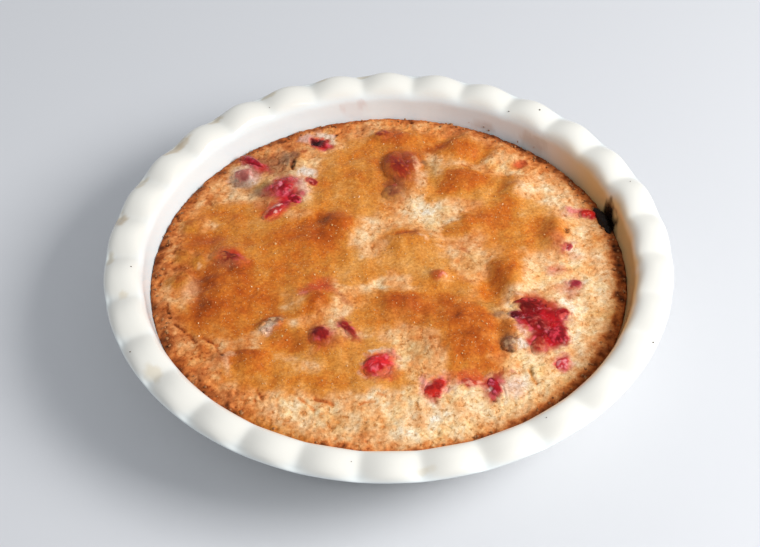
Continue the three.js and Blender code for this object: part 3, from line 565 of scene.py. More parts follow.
def crust_detail(x, y, crumb, wet):
    """Fine height on the crust: pebbled grain and lumps from noise, a few open pores, cracks, and
    a torn lip round each sunken berry."""
    near_rim = smooth((np.hypot(x, y) - 88) / 20)
    fine = (0.22 + 0.40 * near_rim) * (0.35 - np.abs(noise(x, y, 0, 2.8, 2, 21))) * crumb
    fine += 0.16 * noise(x, y, 0, 1.7, 1, 28) * crumb + 0.15 * noise(x, y, 0, 2.3, 1, 29)
    fine += 0.42 * noise(x, y, 0, 8.0, 2, 22)
    fine += 0.30 * noise(x, y, 0, 4.0, 2, 23) * wet
    fine -= 0.5 * open_pores(x, y) * crumb
    fine += bells(BLISTERS, x, y) - crack_depth(x, y)
    for row in BERRIES:
        cx, cy, a, b, _, turn = row[:6]
        torn = float(smooth((row[11] - 0.45) / 0.35))
        d = reach(x, y, cx, cy, a + 0.3, b + 0.3, turn) + 0.12 * noise(x, y, 0, 2.6, 1, 26)
        lip = np.exp(-((d - 1.14) / 0.16) ** 2) * (0.14 + 0.60 * noise(x, y, 0, 2.8, 2, 27))
        fine += torn * np.where(d < 1.8, lip - 0.6 * (1 - 0.8 * wet) * smooth((1.0 - d) / 0.3), 0)
    return fine


def open_pores(x, y):
    """Depth from 0 to 1 of pores that opened in the crumb, most of them near the rim at the left
    and in front."""
    share = smooth((np.hypot(x, y) - 78) / 24) * (0.35 + 0.65 * smooth((50 - x) / 60))
    return pores(x, y, 4.4, 24) * share


def pores(x, y, cell, seed):
    """Depth from 0 to 1 of round pores: each square cell holds one at a random place and of a
    random size, and most are too small to show."""
    cx, cy = np.floor(x / cell), np.floor(y / cell)
    deepest = np.zeros_like(x)
    for i in (-1, 0, 1):
        for j in (-1, 0, 1):
            ix, iy = cx + i + LATTICE_SHIFT, cy + j + LATTICE_SHIFT
            px = (ix - LATTICE_SHIFT + lattice(ix, iy, iy * 0, seed)) * cell
            py = (iy - LATTICE_SHIFT + lattice(ix, iy, iy * 0 + 1, seed)) * cell
            size = cell * (0.45 * lattice(ix, iy, iy * 0 + 2, seed) - 0.18)
            gap = np.hypot(x - px, y - py) / np.maximum(size, 0.05)
            deepest = np.maximum(deepest, smooth(1.3 - gap) * (size > 0.1))
    return deepest


def closed_shell(first, rings, last):
    """A closed surface through a stack of rings, each a row of points, closed by a fan to a
    point at either end. Rings run anticlockwise seen from the first point, so faces look out."""
    k, m = rings.shape[:2]
    points = np.concatenate([[first], rings.reshape(-1, 3), [last]])
    here = np.arange(m)
    after = (here + 1) % m
    start = 1 + m * np.arange(k - 1)[:, None]
    quads = np.stack([start + here, start + m + here, start + m + after, start + after], -1)
    top = np.stack([np.zeros(m, int), 1 + here, 1 + after], -1)
    end = 1 + m * (k - 1)
    bottom = np.stack([np.full(m, len(points) - 1), end + after, end + here], -1)
    return points, quads.reshape(-1, 4), np.concatenate([top, bottom])


def make_piece(name, points, quads, triangles, looks, material, replaced):
    """Makes one piece of the object: its mesh in metres, its attributes, its material, the body
    it rides on and the CAD nodes it stands for."""
    mesh = bpy.data.meshes.new(name)
    faces = np.asarray(quads).tolist() + np.asarray(triangles).tolist()
    mesh.from_pydata((np.asarray(points) * MM).tolist(), [], faces)
    for key, values in looks.items():
        kind = "FLOAT_COLOR" if values.ndim == 2 else "FLOAT"
        layer = mesh.attributes.new(key, kind, "POINT")
        if values.ndim == 2:
            values = np.concatenate([values, np.ones((len(values), 1))], axis=1)
        layer.data.foreach_set("color" if kind == "FLOAT_COLOR" else "value",
                               values.astype(np.float32).ravel())
    mesh.polygons.foreach_set("use_smooth", np.ones(len(faces), bool))
    mesh.materials.append(material)
    mesh.update()
    piece = bpy.data.objects.new(name, mesh)
    bpy.context.scene.collection.objects.link(piece)
    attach(piece, "root")
    if replaced:
        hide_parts(*replaced)
    return piece


def add(tree, kind, settings=None, inputs=None):
    """Adds a node with its settings and its inputs. An input that is a socket is linked, and
    anything else is set as the socket's own value."""
    made = tree.nodes.new(kind)
    for key, value in (settings or {}).items():
        setattr(made, key, value)
    for key, value in (inputs or {}).items():
        if isinstance(value, bpy.types.NodeSocket):
            tree.links.new(value, made.inputs[key])
        else:
            made.inputs[key].default_value = value
    return made


# Patterns of the materials in cells to the metre, so that 1000 makes cells of 1 mm
GLAZE_WAVES = 160.0
CRUST_GRAIN, CRUST_PORES, CRUST_SUGAR = 760.0, 360.0, 1250.0
SKIN_CREASES, NUT_VEINS = 900.0, 800.0
BURNT_BLISTERS, BURNT_ASH = 700.0, 420.0


def new_material(name, **values):
    """A material with one principled shader, and the tree and the shader to add nodes to."""
    material = bpy.data.materials.new(name)
    material.use_nodes = True
    tree = material.node_tree
    tree.nodes.clear()
    shader = add(tree, "ShaderNodeBsdfPrincipled", None, values)
    add(tree, "ShaderNodeOutputMaterial", None, {"Surface": shader.outputs[0]})
    return material, tree, shader


def stoneware_glaze(look):
    """Glazed white stoneware: a thick clear gloss over a warm white body. It has a hard bright
    shine, a faint orange-peel waviness about 6 mm long, and a dull buff ring where it is unglazed."""
    material, tree, shader = new_material("white_stoneware_glaze", IOR=1.52)
    place = add(tree, "ShaderNodeTexCoord").outputs["Object"]
    tint = add(tree, "ShaderNodeAttribute", {"attribute_name": "tint"})
    dull = add(tree, "ShaderNodeAttribute", {"attribute_name": "dull"})
    tree.links.new(tint.outputs["Color"], shader.inputs["Base Color"])
    rough = add(tree, "ShaderNodeMapRange", None,
                {0: dull.outputs["Fac"], 3: look.gloss_roughness, 4: 0.8})
    tree.links.new(rough.outputs[0], shader.inputs["Roughness"])
    wave = add(tree, "ShaderNodeTexNoise", None,
               {"Vector": place, "Scale": GLAZE_WAVES, "Detail": 2.0})
    bump = add(tree, "ShaderNodeBump", None,
               {"Strength": 0.5, "Distance": 0.1 * MM, "Height": wave.outputs[0]})
    tree.links.new(bump.outputs[0], shader.inputs["Normal"])
    return material


def baked_batter(look):
    """Baked butter batter: matt, open crumb with pores and brown specks about 1 mm across, and
    smooth caramel skin between, satin, with undissolved sugar half a millimetre across in it.
    The specks and pores carry painted shade and light that follow the grain and pore relief, and
    the sugar has painted glints. Where juice soaked in, it is wet and glossy, and specks and sugar
    drown."""
    material, tree, shader = new_material(
        "baked_butter_crust", **{"IOR": 1.45, "Specular IOR Level": 0.2})
    place = add(tree, "ShaderNodeTexCoord").outputs["Object"]
    tint = add(tree, "ShaderNodeAttribute", {"attribute_name": "tint"}).outputs["Color"]
    crumb = add(tree, "ShaderNodeAttribute", {"attribute_name": "crumb"}).outputs["Fac"]
    rough = add(tree, "ShaderNodeAttribute", {"attribute_name": "dull"}).outputs["Fac"]
    grain = add(tree, "ShaderNodeTexNoise", None,
                {"Vector": place, "Scale": CRUST_GRAIN, "Detail": 4.0, "Roughness": 0.7}).outputs[0]
    hole = add(tree, "ShaderNodeTexNoise", None,
               {"Vector": place, "Scale": CRUST_PORES, "Detail": 3.0, "Roughness": 0.6}).outputs[0]
    sugar = add(tree, "ShaderNodeTexVoronoi", None, {"Vector": place, "Scale": CRUST_SUGAR})
    # each speck is browner or paler than the batter round it, and more so in the crumb; as it follows
    # the same noise as the grain's bump, it is partly painted shade in the grain's low places and
    # painted light on its tops
    speck = add(tree, "ShaderNodeMapRange", None, {0: grain, 1: 0.3, 2: 0.7})
    strength = add(tree, "ShaderNodeMapRange", None,
                   {0: crumb, 3: look.speckle_and_shade * 1.15, 4: look.speckle_and_shade})
    # what juice soaked is known by its gloss
    dry = add(tree, "ShaderNodeMapRange", None, {0: rough, 1: 0.24, 2: 0.42, 3: 0.25, 4: 1.0})
    strength = add(tree, "ShaderNodeMath", {"operation": "MULTIPLY"},
                   {0: strength.outputs[0], 1: dry.outputs[0]})
    tones = []
    for shade in ((0.66, 0.48, 0.32), (1.34, 1.40, 1.46)):
        tone = add(tree, "ShaderNodeMix", {"data_type": "RGBA"},
                   {0: strength.outputs[0], 6: (1, 1, 1, 1), 7: (*shade, 1)})
        tones.append(tone.outputs[2])
    toned = add(tree, "ShaderNodeMix", {"data_type": "RGBA"},
                {0: speck.outputs[0], 6: tones[0], 7: tones[1]})
    stirred = add(tree, "ShaderNodeVectorMath", {"operation": "MULTIPLY"},
                  {0: tint, 1: toned.outputs[2]})
    # open pores up to 3 mm across, where the crumb is open, with painted shade inside them
    pit = add(tree, "ShaderNodeMapRange", None, {0: hole, 1: 0.55, 2: 0.68, 3: 0.0, 4: 0.8})
    in_open = add(tree, "ShaderNodeMath", {"operation": "MULTIPLY"}, {0: pit.outputs[0], 1: crumb})
    shaded = add(tree, "ShaderNodeMix", {"data_type": "RGBA", "blend_type": "MULTIPLY"},
                 {0: in_open.outputs[0], 6: stirred.outputs[0], 7: (0.72, 0.46, 0.20, 1)})
    # sugar painted pale in one cell of six, and not in the crumb: the grains' own colour and
    # painted glints where they would catch the light
    sparkle = add(tree, "ShaderNodeMapRange", None,
                  {0: sugar.outputs["Distance"], 1: 0.36, 2: 0.2, 3: 0.0, 4: 1.0})
    picked = add(tree, "ShaderNodeSeparateColor", None, {0: sugar.outputs["Color"]})
    few = add(tree, "ShaderNodeMath", {"operation": "GREATER_THAN"},
              {0: picked.outputs[1], 1: 0.84})
    bright = add(tree, "ShaderNodeMath", {"operation": "MULTIPLY"},
                 {0: sparkle.outputs[0], 1: few.outputs[0]})
    on_top = add(tree, "ShaderNodeMapRange", None,
                 {0: crumb, 1: 0.0, 2: 0.6, 3: 0.45, 4: 0.0})
    on_dry = add(tree, "ShaderNodeMath", {"operation": "MULTIPLY"},
                 {0: on_top.outputs[0], 1: dry.outputs[0]})
    seen = add(tree, "ShaderNodeMath", {"operation": "MULTIPLY"},
               {0: bright.outputs[0], 1: on_dry.outputs[0]})
    sugared = add(tree, "ShaderNodeMix", {"data_type": "RGBA"},
                  {0: seen.outputs[0], 6: shaded.outputs[2], 7: (*linear("#f2cf98"), 1)})
    tree.links.new(sugared.outputs[2], shader.inputs["Base Color"])
    tree.links.new(rough, shader.inputs["Roughness"])
    # heights in millimetres: the grain deepens in the crumb, pores go in, sugar stands out
    deep = add(tree, "ShaderNodeMapRange", None, {0: crumb, 3: 0.22, 4: look.grain_depth})
    height = add(tree, "ShaderNodeMath", {"operation": "MULTIPLY"},
                 {0: grain, 1: deep.outputs[0]})
    sunk = add(tree, "ShaderNodeMath", {"operation": "MULTIPLY_ADD"},
               {0: in_open.outputs[0], 1: -0.35, 2: height.outputs[0]})
    raised = add(tree, "ShaderNodeMath", {"operation": "MULTIPLY_ADD"},
                 {0: seen.outputs[0], 1: 0.25, 2: sunk.outputs[0]})
    bump = add(tree, "ShaderNodeBump", None,
               {"Strength": 0.9, "Distance": MM, "Height": raised.outputs[0]})
    tree.links.new(bump.outputs[0], shader.inputs["Normal"])
    return material


def cranberry_flesh(look):
    """Burst cranberry: thin glossy skin over wet red flesh that lets a little light through, with
    fine creases about 1 mm apart. It is dull where flour or batter sticks to it."""
    material, tree, shader = new_material(
        "baked_cranberry_skin",
        **{"IOR": 1.42, "Specular IOR Level": 0.28, "Subsurface Weight": 0.08,
           "Subsurface Scale": 1.2 * MM, "Subsurface Radius": (1.0, 0.2, 0.1)})
    place = add(tree, "ShaderNodeTexCoord").outputs["Object"]
    tint = add(tree, "ShaderNodeAttribute", {"attribute_name": "tint"}).outputs["Color"]
    dull = add(tree, "ShaderNodeAttribute", {"attribute_name": "dull"}).outputs["Fac"]
    crease = add(tree, "ShaderNodeTexNoise", None,
                 {"Vector": place, "Scale": SKIN_CREASES, "Detail": 3.0, "Distortion": 0.6}).outputs[0]
    shift = add(tree, "ShaderNodeMapRange", None,
                {0: crease, 1: 0.3, 2: 0.7, 3: 0.8, 4: 1.2})
    mottled = add(tree, "ShaderNodeVectorMath", {"operation": "SCALE"},
                  {0: tint, "Scale": shift.outputs[0]})
    tree.links.new(mottled.outputs[0], shader.inputs["Base Color"])
    tree.links.new(dull, shader.inputs["Roughness"])
    bump = add(tree, "ShaderNodeBump", None,
               {"Strength": look.crease_strength, "Distance": MM * 0.5, "Height": crease})
    tree.links.new(bump.outputs[0], shader.inputs["Normal"])
    return material


def toasted_nut():
    """Toasted walnut: a dry brown seed coat with darker veins, matt, with fine ridges 1 mm apart."""
    material, tree, shader = new_material(
        "toasted_walnut", **{"Roughness": 0.65, "Specular IOR Level": 0.25})
    place = add(tree, "ShaderNodeTexCoord").outputs["Object"]
    tint = add(tree, "ShaderNodeAttribute", {"attribute_name": "tint"}).outputs["Color"]
    vein = add(tree, "ShaderNodeTexNoise", None,
               {"Vector": place, "Scale": NUT_VEINS, "Detail": 4.0, "Distortion": 1.2}).outputs[0]
    shift = add(tree, "ShaderNodeMapRange", None, {0: vein, 1: 0.3, 2: 0.7, 3: 0.7, 4: 1.25})
    mottled = add(tree, "ShaderNodeVectorMath", {"operation": "SCALE"},
                  {0: tint, "Scale": shift.outputs[0]})
    tree.links.new(mottled.outputs[0], shader.inputs["Base Color"])
    bump = add(tree, "ShaderNodeBump", None,
               {"Strength": 0.8, "Distance": MM * 0.6, "Height": vein})
    tree.links.new(bump.outputs[0], shader.inputs["Normal"])
    return material


def burnt_sugar():
    """Fruit juice boiled over and burnt to carbon: near black, brown where thin, part glossy and
    part ashy, with blisters about 1 mm across."""
    material, tree, shader = new_material(
        "burnt_juice_crust", **{"Specular IOR Level": 0.2})
    place = add(tree, "ShaderNodeTexCoord").outputs["Object"]
    blister = add(tree, "ShaderNodeTexVoronoi", None,
                  {"Vector": place, "Scale": BURNT_BLISTERS}).outputs["Distance"]
    ash = add(tree, "ShaderNodeTexNoise", None, {"Vector": place, "Scale": BURNT_ASH}).outputs[0]
    colour = add(tree, "ShaderNodeMix", {"data_type": "RGBA"},
                 {0: ash, 6: (*linear("#080504"), 1), 7: (*linear("#1a0c06"), 1)})
    tree.links.new(colour.outputs[2], shader.inputs["Base Color"])
    rough = add(tree, "ShaderNodeMapRange", None, {0: ash, 1: 0.35, 2: 0.65, 3: 0.25, 4: 0.75})
    tree.links.new(rough.outputs[0], shader.inputs["Roughness"])
    bump = add(tree, "ShaderNodeBump", {"invert": True},
               {"Strength": 0.8, "Distance": MM * 0.8, "Height": blister})
    tree.links.new(bump.outputs[0], shader.inputs["Normal"])
    return material


def grain_material(name, dark, pale, roughness, size):
    """Loose grains, such as sugar crystals or toasted crumbs: a mottle between two colours."""
    material, tree, shader = new_material(name, Roughness=roughness)
    place = add(tree, "ShaderNodeTexCoord").outputs["Object"]
    mottle = add(tree, "ShaderNodeTexNoise", None,
                 {"Vector": place, "Scale": 1 / (size * MM), "Detail": 2.0}).outputs[0]
    spread = add(tree, "ShaderNodeMapRange", None, {0: mottle, 1: 0.35, 2: 0.65})
    colour = add(tree, "ShaderNodeMix", {"data_type": "RGBA"},
                 {0: spread.outputs[0], 6: (*linear(dark), 1), 7: (*linear(pale), 1)})
    tree.links.new(colour.outputs[2], shader.inputs["Base Color"])
    bump = add(tree, "ShaderNodeBump", None,
               {"Strength": 0.4, "Distance": size * MM / 4, "Height": mottle})
    tree.links.new(bump.outputs[0], shader.inputs["Normal"])
    return material


def curve(a, b, c, steps, first=0):
    """Points of a quadratic Bezier curve from a to c, drawn towards b:
    (1 - t)^2 a + 2 t (1 - t) b + t^2 c."""
    t = np.linspace(0, 1, steps + 1)[first:, None]
    return (1 - t) ** 2 * np.array(a) + 2 * t * (1 - t) * np.array(b) + t * t * np.array(c)


def dish_section():
    """The dish's section from the middle of the floor, up the wall, over the flange and lip, and
    down outside to the middle of the base. Gives radius, height and share of the ripple."""
    floor = np.stack([np.linspace(4, FLOOR_EDGE[0], 12), np.full(12, FLOOR_EDGE[1])], -1)
    parts = [
        (floor, [0, 0]),
        (curve(FLOOR_EDGE, WALL_PULL, WALL_TOP, 26, 1), [0, 0]),
        (curve(WALL_TOP, BEND_PULL, FLANGE_CREST, 16, 1), [0.15, 0.45, 0.8, 0.95]),
        (curve(FLANGE_CREST, FLANGE_PULL, LIP_MIDDLE, 14, 1), [0.95, 1, 0.85, 0.3]),
        (curve(LIP_MIDDLE, LIP_PULL, LIP_UNDER, 6, 1), [0.3, 0, 0]),
        (curve(LIP_UNDER, UNDER_PULL, OUTER_WALL_TOP, 10, 1), [0, 0]),
        (curve(OUTER_WALL_TOP, OUTER_WALL_PULL, FOOT_TOP, 20, 1), [0, 0]),
        (np.array([(FOOT_OUTER + 0.2, 0.3), (FOOT_OUTER - 0.5, 0), (92, 0), (FOOT_INNER, 0),
                   (FOOT_INNER - 1, FOOT_TOP[1]), (60, FOOT_TOP[1]), (20, FOOT_TOP[1])]), [0, 0]),
    ]
    stops = {2: [0, 1], 4: [0, 0.4, 0.7, 1], 3: [0, 0.5, 1]}
    points = np.concatenate([p for p, _ in parts])
    share = []
    for p, shares in parts:
        at = [0, 0.4, 0.75, 1] if shares[0] == 0.95 else stops[len(shares)]
        share.append(np.interp(np.arange(1, len(p) + 1) / len(p), at, shares))
    # the ripple fades out on the wall between the flange and the pie
    share[1] = 0.15 * smooth((parts[1][0][:, 1] - 34) / 6)
    return points[:, 0], points[:, 1], np.concatenate(share)


# Marks on the glaze: angle, radius, half length along the rim, half width, tint, strength
DISH_MARKS = (
    (94.5, 137.4, 4.5, 1.8, "#c9b181", 0.50), (104.5, 137.0, 3.0, 1.6, "#c9b181", 0.45),
    (117, 136.6, 4.0, 2.0, "#c8b284", 0.45), (131.5, 136.4, 5.0, 2.4, "#c4a873", 0.55),
    (143, 136.0, 9.0, 2.8, "#bfa06a", 0.60), (157, 136.6, 4.5, 2.0, "#c8b284", 0.50),
    (168.5, 136.6, 5.0, 2.6, "#bb9c68", 0.60), (180, 136.8, 4.0, 1.8, "#c8b284", 0.45),
    (191, 131, 3.0, 2.4, "#cdb88c", 0.35), (214.7, 133, 5.0, 3.0, "#cdb88c", 0.35),
    (276, 135, 4.0, 2.0, "#cdb88c", 0.30), (98, 119.8, 8.0, 1.2, "#d8a898", 0.10),
    (96, 120.6, 2.0, 0.7, "#c07a68", 0.16), (101, 120.2, 1.4, 0.6, "#c08070", 0.14),
    (50, 119.6, 9.0, 0.9, "#a08468", 0.35), (64, 119.2, 6.0, 0.8, "#a8805c", 0.35),
    (17.8, 118.6, 5.2, 2.0, "#1c100a", 1.0), (15.0, 118.0, 4.4, 1.7, "#1c100a", 1.0),
    (19.8, 119.4, 2.6, 1.5, "#2c180c", 0.90), (12.6, 117.6, 3.6, 1.0, "#4c2c14", 0.60),
)
# Rings of the dish's section from the middle of the floor to the middle of the lip
SHOWN_RINGS = 71
# Heights on the wall: where the pie meets it, and where its painted cool light and its film
# with painted shade fade out
MEETING, PAINTED_LIGHT_TOP, FILM_SHADE_TOP = 31.8, 46, 50
# The wall lies outside the first radius, and the film of butter with painted shade between the next two
WALL_FOOT, FILM_SHADE_FOOT, FILM_SHADE_END = 100, 110, 126.5
# The film and its painted shade span this many degrees to either side of the right, and are turned to
# the front by this many
FILM_SHADE_SPAN, FILM_SHADE_TURN = 68, 8
# Pits and specks in the glaze: angle, radius, size
PINHOLES = (
    (183.4, 125.6, 0.52), (207.4, 136.5, 0.45), (51.5, 131.5, 0.59), (58, 124.5, 0.52),
    (333.8, 137.6, 0.52), (119, 128, 0.33), (262, 131, 0.33), (21, 133, 0.33), (303, 127.5, 0.33),
)


def dish_ripple(angle):
    """Ripple of the rim: 1 on a broad crest and 0 in a groove, less its mean. It is the root of
    sine squared plus a small square, which rounds the bottom of the groove."""
    s = np.sin(RIPPLES / 2 * (angle - GROOVE_ANGLE))
    low, high = GROOVE_ROUNDING, math.hypot(1, GROOVE_ROUNDING)
    return (np.hypot(s, GROOVE_ROUNDING) - low) / (high - low) - RIPPLE_MEAN


def make_dish(look):
    """The dish is its section carried round the axis. At each angle the section moves up and
    outwards by its share of the ripple, and hand making leaves it a fraction uneven."""
    r, h, share = dish_section()
    angle = 2 * math.pi * np.arange(look.sectors) / look.sectors
    wave = share[:, None] * dish_ripple(angle)[None, :]
    hand = 0.12 * share[:, None] * noise(np.cos(angle) * 140, np.sin(angle) * 140, 0, 45, 2, 31)
    radius = r[:, None] + look.scallop_depth * (wave + 0.5 * hand - 0.05)
    height = h[:, None] + look.ripple_depth * wave + hand - 0.30 * share[:, None]
    rings = np.stack([radius * np.cos(angle), radius * np.sin(angle), height], -1)
    points, quads, triangles = closed_shell((0, 0, h[0]), rings, (0, 0, h[-1]))
    x, y, z = points.T
    r, a = np.hypot(x, y), np.degrees(np.arctan2(y, x)) % 360
    tint = np.tile(np.array(look.glaze), (len(points), 1))
    ring = np.concatenate([[0], np.repeat(np.arange(len(h)), look.sectors), [len(h)]])
    above = ring < SHOWN_RINGS
    ragged = 0.35 * noise(x, y, z, 4.0, 2, 32) + 0.25 * noise(x, y, z, 1.8, 2, 33)
    # butter that baked on where the pie meets the wall
    baked_on = above * np.exp(-((z - MEETING - 0.7 * noise(x, y, 0, 6, 2, 34)) / 0.9) ** 2)
    tint += (linear("#8c5a30") - tint) * (0.8 * baked_on * (r > WALL_FOOT))[:, None]
    # painted light: the wall below the flange is tinted cooler and whiter, standing in for light from
    # above and behind and cancelling the warm light the pie throws on it
    wall = above * (r > WALL_FOOT) * smooth((PAINTED_LIGHT_TOP - z) / 4)
    tint += (linear("#e8f3f8") - tint) * (0.92 * wall)[:, None]
    # a film of butter browned on the wall, mostly at the right, with the painted shade and warm
    # reflected light of the wall's shaded side in it
    side = smooth((FILM_SHADE_SPAN - np.abs((a + FILM_SHADE_TURN + 180) % 360 - 180)) / 35)
    film_and_shade = smooth((FILM_SHADE_TOP - z + 2 * noise(x, y, 0, 9, 2, 35)) / 10)
    film_and_shade *= above * (r > FILM_SHADE_FOOT) * side * smooth((FILM_SHADE_END - r) / 5)
    tint += (linear("#d2a04a") - tint) * (0.86 * film_and_shade)[:, None]
    for at, radius, long, wide, shade, strength in DISH_MARKS:
        along = ((a - at + 180) % 360 - 180) * math.radians(1) * radius
        d = np.hypot(along / long, (r - radius) / wide) + ragged
        m = strength * smooth((1.5 - d) / 1.0) * above
        tint += (linear(shade) - tint) * m[:, None]
    dull = smooth((0.5 - z) / 0.4) * (r > 80)
    tint += (linear("#c9b598") - tint) * dull[:, None]
    make_piece("stoneware_dish", points, quads, triangles, {"tint": tint, "dull": dull},
               stoneware_glaze(look), ["dish"])


def disc_grid(n):
    """A square grid laid on a disc of radius 1, with cells of even size: the larger of |a| and
    |b| becomes the radius, and the ratio of the other to it becomes the angle."""
    a, b = np.meshgrid(np.linspace(-1, 1, n + 1), np.linspace(-1, 1, n + 1))
    wide = np.abs(a) >= np.abs(b)
    r = np.where(wide, a, b)
    safe = np.where(r == 0, 1, r)
    turn = np.where(wide, math.pi / 4 * b / safe, math.pi / 2 - math.pi / 4 * a / safe)
    return (r * np.cos(turn)).ravel(), (r * np.sin(turn)).ravel()


def make_crust(look):
    """The pie: the crust's height over a disc, with fine detail on it, then a side that follows
    the dish's wall down to the floor, closed below by a fan."""
    n = look.grid
    u, v = disc_grid(n)
    r, angle = np.hypot(u, v), np.arctan2(v, u)
    edge = PIE_EDGE_RADIUS + 0.2 - 0.35 * noise(60 * np.cos(angle), 60 * np.sin(angle), 0, 2.2, 3, 41)
    radius = r * (PIE_EDGE_RADIUS + (edge - PIE_EDGE_RADIUS) * smooth((r - 0.93) / 0.07))
    x, y = radius * np.cos(angle), radius * np.sin(angle)
    tint, crumb, wet = crust_look(x, y)
    z = crust_height(x, y) + look.detail * crust_detail(x, y, crumb, wet)
    dull = (0.46 + 0.36 * crumb) * (1 - wet) + 0.2 * wet
    top = np.stack([x, y, z], -1)
    i = np.arange(n)
    cell = (i[:, None] * (n + 1) + i[None, :]).ravel()
    quads = np.stack([cell, cell + 1, cell + n + 2, cell + n + 1], -1)
    loop = np.concatenate([i, i * (n + 1) + n, (n + 1) * n + n - i, (n - i) * (n + 1)])
    wall = curve(FLOOR_EDGE, WALL_PULL, WALL_TOP, 25)[::-1]
    side = wall[(wall[:, 1] < 30) & (wall[:, 1] > 6)][::3] + np.array([-2 * GAP, 2 * GAP])
    around = np.arctan2(y[loop], x[loop])
    rings = np.stack([side[:, :1] * np.cos(around), side[:, :1] * np.sin(around),
                      np.broadcast_to(side[:, 1:], (len(side), len(loop)))], -1)
    points = np.concatenate([top, rings.reshape(-1, 3), [[0, 0, FLOOR_EDGE[1] + 2 * GAP]]])
    m = len(loop)
    rows = np.concatenate([[loop], len(top) + np.arange(len(side) * m).reshape(-1, m)])
    ahead = np.roll(rows, -1, axis=1)
    skirt = np.stack([rows[:-1], rows[1:], ahead[1:], ahead[:-1]], -1).reshape(-1, 4)
    under = np.stack([np.full(m, len(points) - 1), ahead[-1], rows[-1]], -1)
    rest = len(points) - len(top)
    brown = np.tile(baked_colour(np.array([0.8]), TOASTED)[0], (rest, 1))
    looks = {"tint": np.concatenate([tint, brown]),
             "crumb": np.concatenate([crumb, np.ones(rest)]),
             "dull": np.concatenate([dull, np.full(rest, 0.85)])}
    make_piece("baked_pie", points, np.concatenate([quads, skirt]), under, looks,
               baked_batter(look), ["pie"])


def ball_rings(rows, columns):
    """Unit directions on rings from just below the top of a ball to just above its bottom."""
    down = math.pi * np.arange(1, rows) / rows
    round_ = 2 * math.pi * np.arange(columns) / columns
    return np.stack([np.sin(down)[:, None] * np.cos(round_), np.sin(down)[:, None] * np.sin(round_),
                     np.repeat(np.cos(down)[:, None], columns, 1)], -1)


def egg(row, rows, columns, swell):
    """An egg sunk in the crust up to its rise, whose part above the crust has the stated length
    and width. Every point is pushed along its ray by a swell of its direction."""
    x, y, long, wide, c, turn, rise = row[:7]
    shown = math.sqrt(1 - ((c - rise) / c) ** 2)
    size = np.array([long / shown, wide / shown, c])
    way = np.concatenate([[[[0, 0, 1]] * columns], ball_rings(rows, columns),
                          [[[0, 0, -1]] * columns]])
    body = way * size * swell(way * size)[..., None]
    cos, sin = math.cos(math.radians(turn)), math.sin(math.radians(turn))
    base = float(crust_height(np.array([float(x)]), np.array([float(y)]))[0])
    placed = np.stack([x + body[..., 0] * cos - body[..., 1] * sin,
                       y + body[..., 0] * sin + body[..., 1] * cos,
                       base + rise - c + body[..., 2]], -1)
    return placed, body


def make_berries(look):
    """Each berry is an egg with soft folds from noise. Its colour is stirred between its main
    tint, its shade at random and its light tint where skin has torn. Towards its outline it
    fades raggedly into the crust's own colour, as juice and batter lie over it there."""
    skin = cranberry_flesh(look)
    for number, row in enumerate(BERRIES, 1):
        main, shade, light = (linear(text) for text in row[7:10])
        pale, wet = row[10:12]

        def swell(p, seed=50 + 3 * number):
            x, y, z = np.moveaxis(p, -1, 0)
            folds = 1 - np.abs(noise(x, y, z, 4.6, 2, seed))
            return (1.0 + look.fold_depth * (folds - 0.6) + 0.03 * noise(x, y, z, 1.8, 1, seed + 1)
                    + 0.06 * noise(x, y, z, 6.0, 1, seed + 2))

        rings, body = egg(row, look.rows, look.columns, swell)
        if number == SUNKEN_BERRY:
            # its near end sinks in as an empty hollow, which is given painted shade below
            sunk = np.exp(-(((body[..., 0] - 2.6) / 2.6) ** 2 + (body[..., 1] / 2.4) ** 2))
            rings[..., 2] -= 2.2 * sunk * (body[..., 2] > 0)
        points, quads, triangles = closed_shell(rings[0, 0], rings[1:-1], rings[-1, 0])
        x, y, z = points.T
        deep = smooth(0.5 + 0.9 * noise(x, y, z, 2.8, 3, 60 + number))
        torn = smooth((noise(x, y, z, 1.9, 2, 90 + number) + pale - 0.55) / 0.5)
        tint = main + (shade - main) * deep[:, None] * 0.85
        tint += (light - tint) * torn[:, None]
        if number == SUNKEN_BERRY:
            # painted shade in the hollow, in the berry's shade colour
            hollow_shade = smooth(1.3 - reach(x, y, row[0] - 1.8, row[1] + 1.3, 3.4, 3.0, 145))
            tint += (shade - tint) * hollow_shade[:, None]
        dull = 0.5 - 0.3 * wet + 0.2 * torn * (1 - 0.5 * wet)
        colour, crumb, moist = crust_look(x, y)
        outer = reach(x, y, row[0], row[1], row[2], row[3], row[5])
        ragged = 0.46 * noise(x, y, 0, 3.0, 2, 70 + number)
        outer = smooth((outer - 0.42 - 0.22 * wet + ragged) / 0.40)
        tint += (colour - tint) * outer[:, None]
        dull += (0.5 + 0.3 * crumb - 0.25 * moist - dull) * outer
        make_piece(f"baked_cranberry_{number}", points, quads, triangles,
                   {"tint": tint, "dull": dull}, skin, [f"cranberry_{number}"])


SEED_COAT, NUT_MEAT, NUT_FLOUR = "#84543a", "#c69c74", "#f2dcc2"


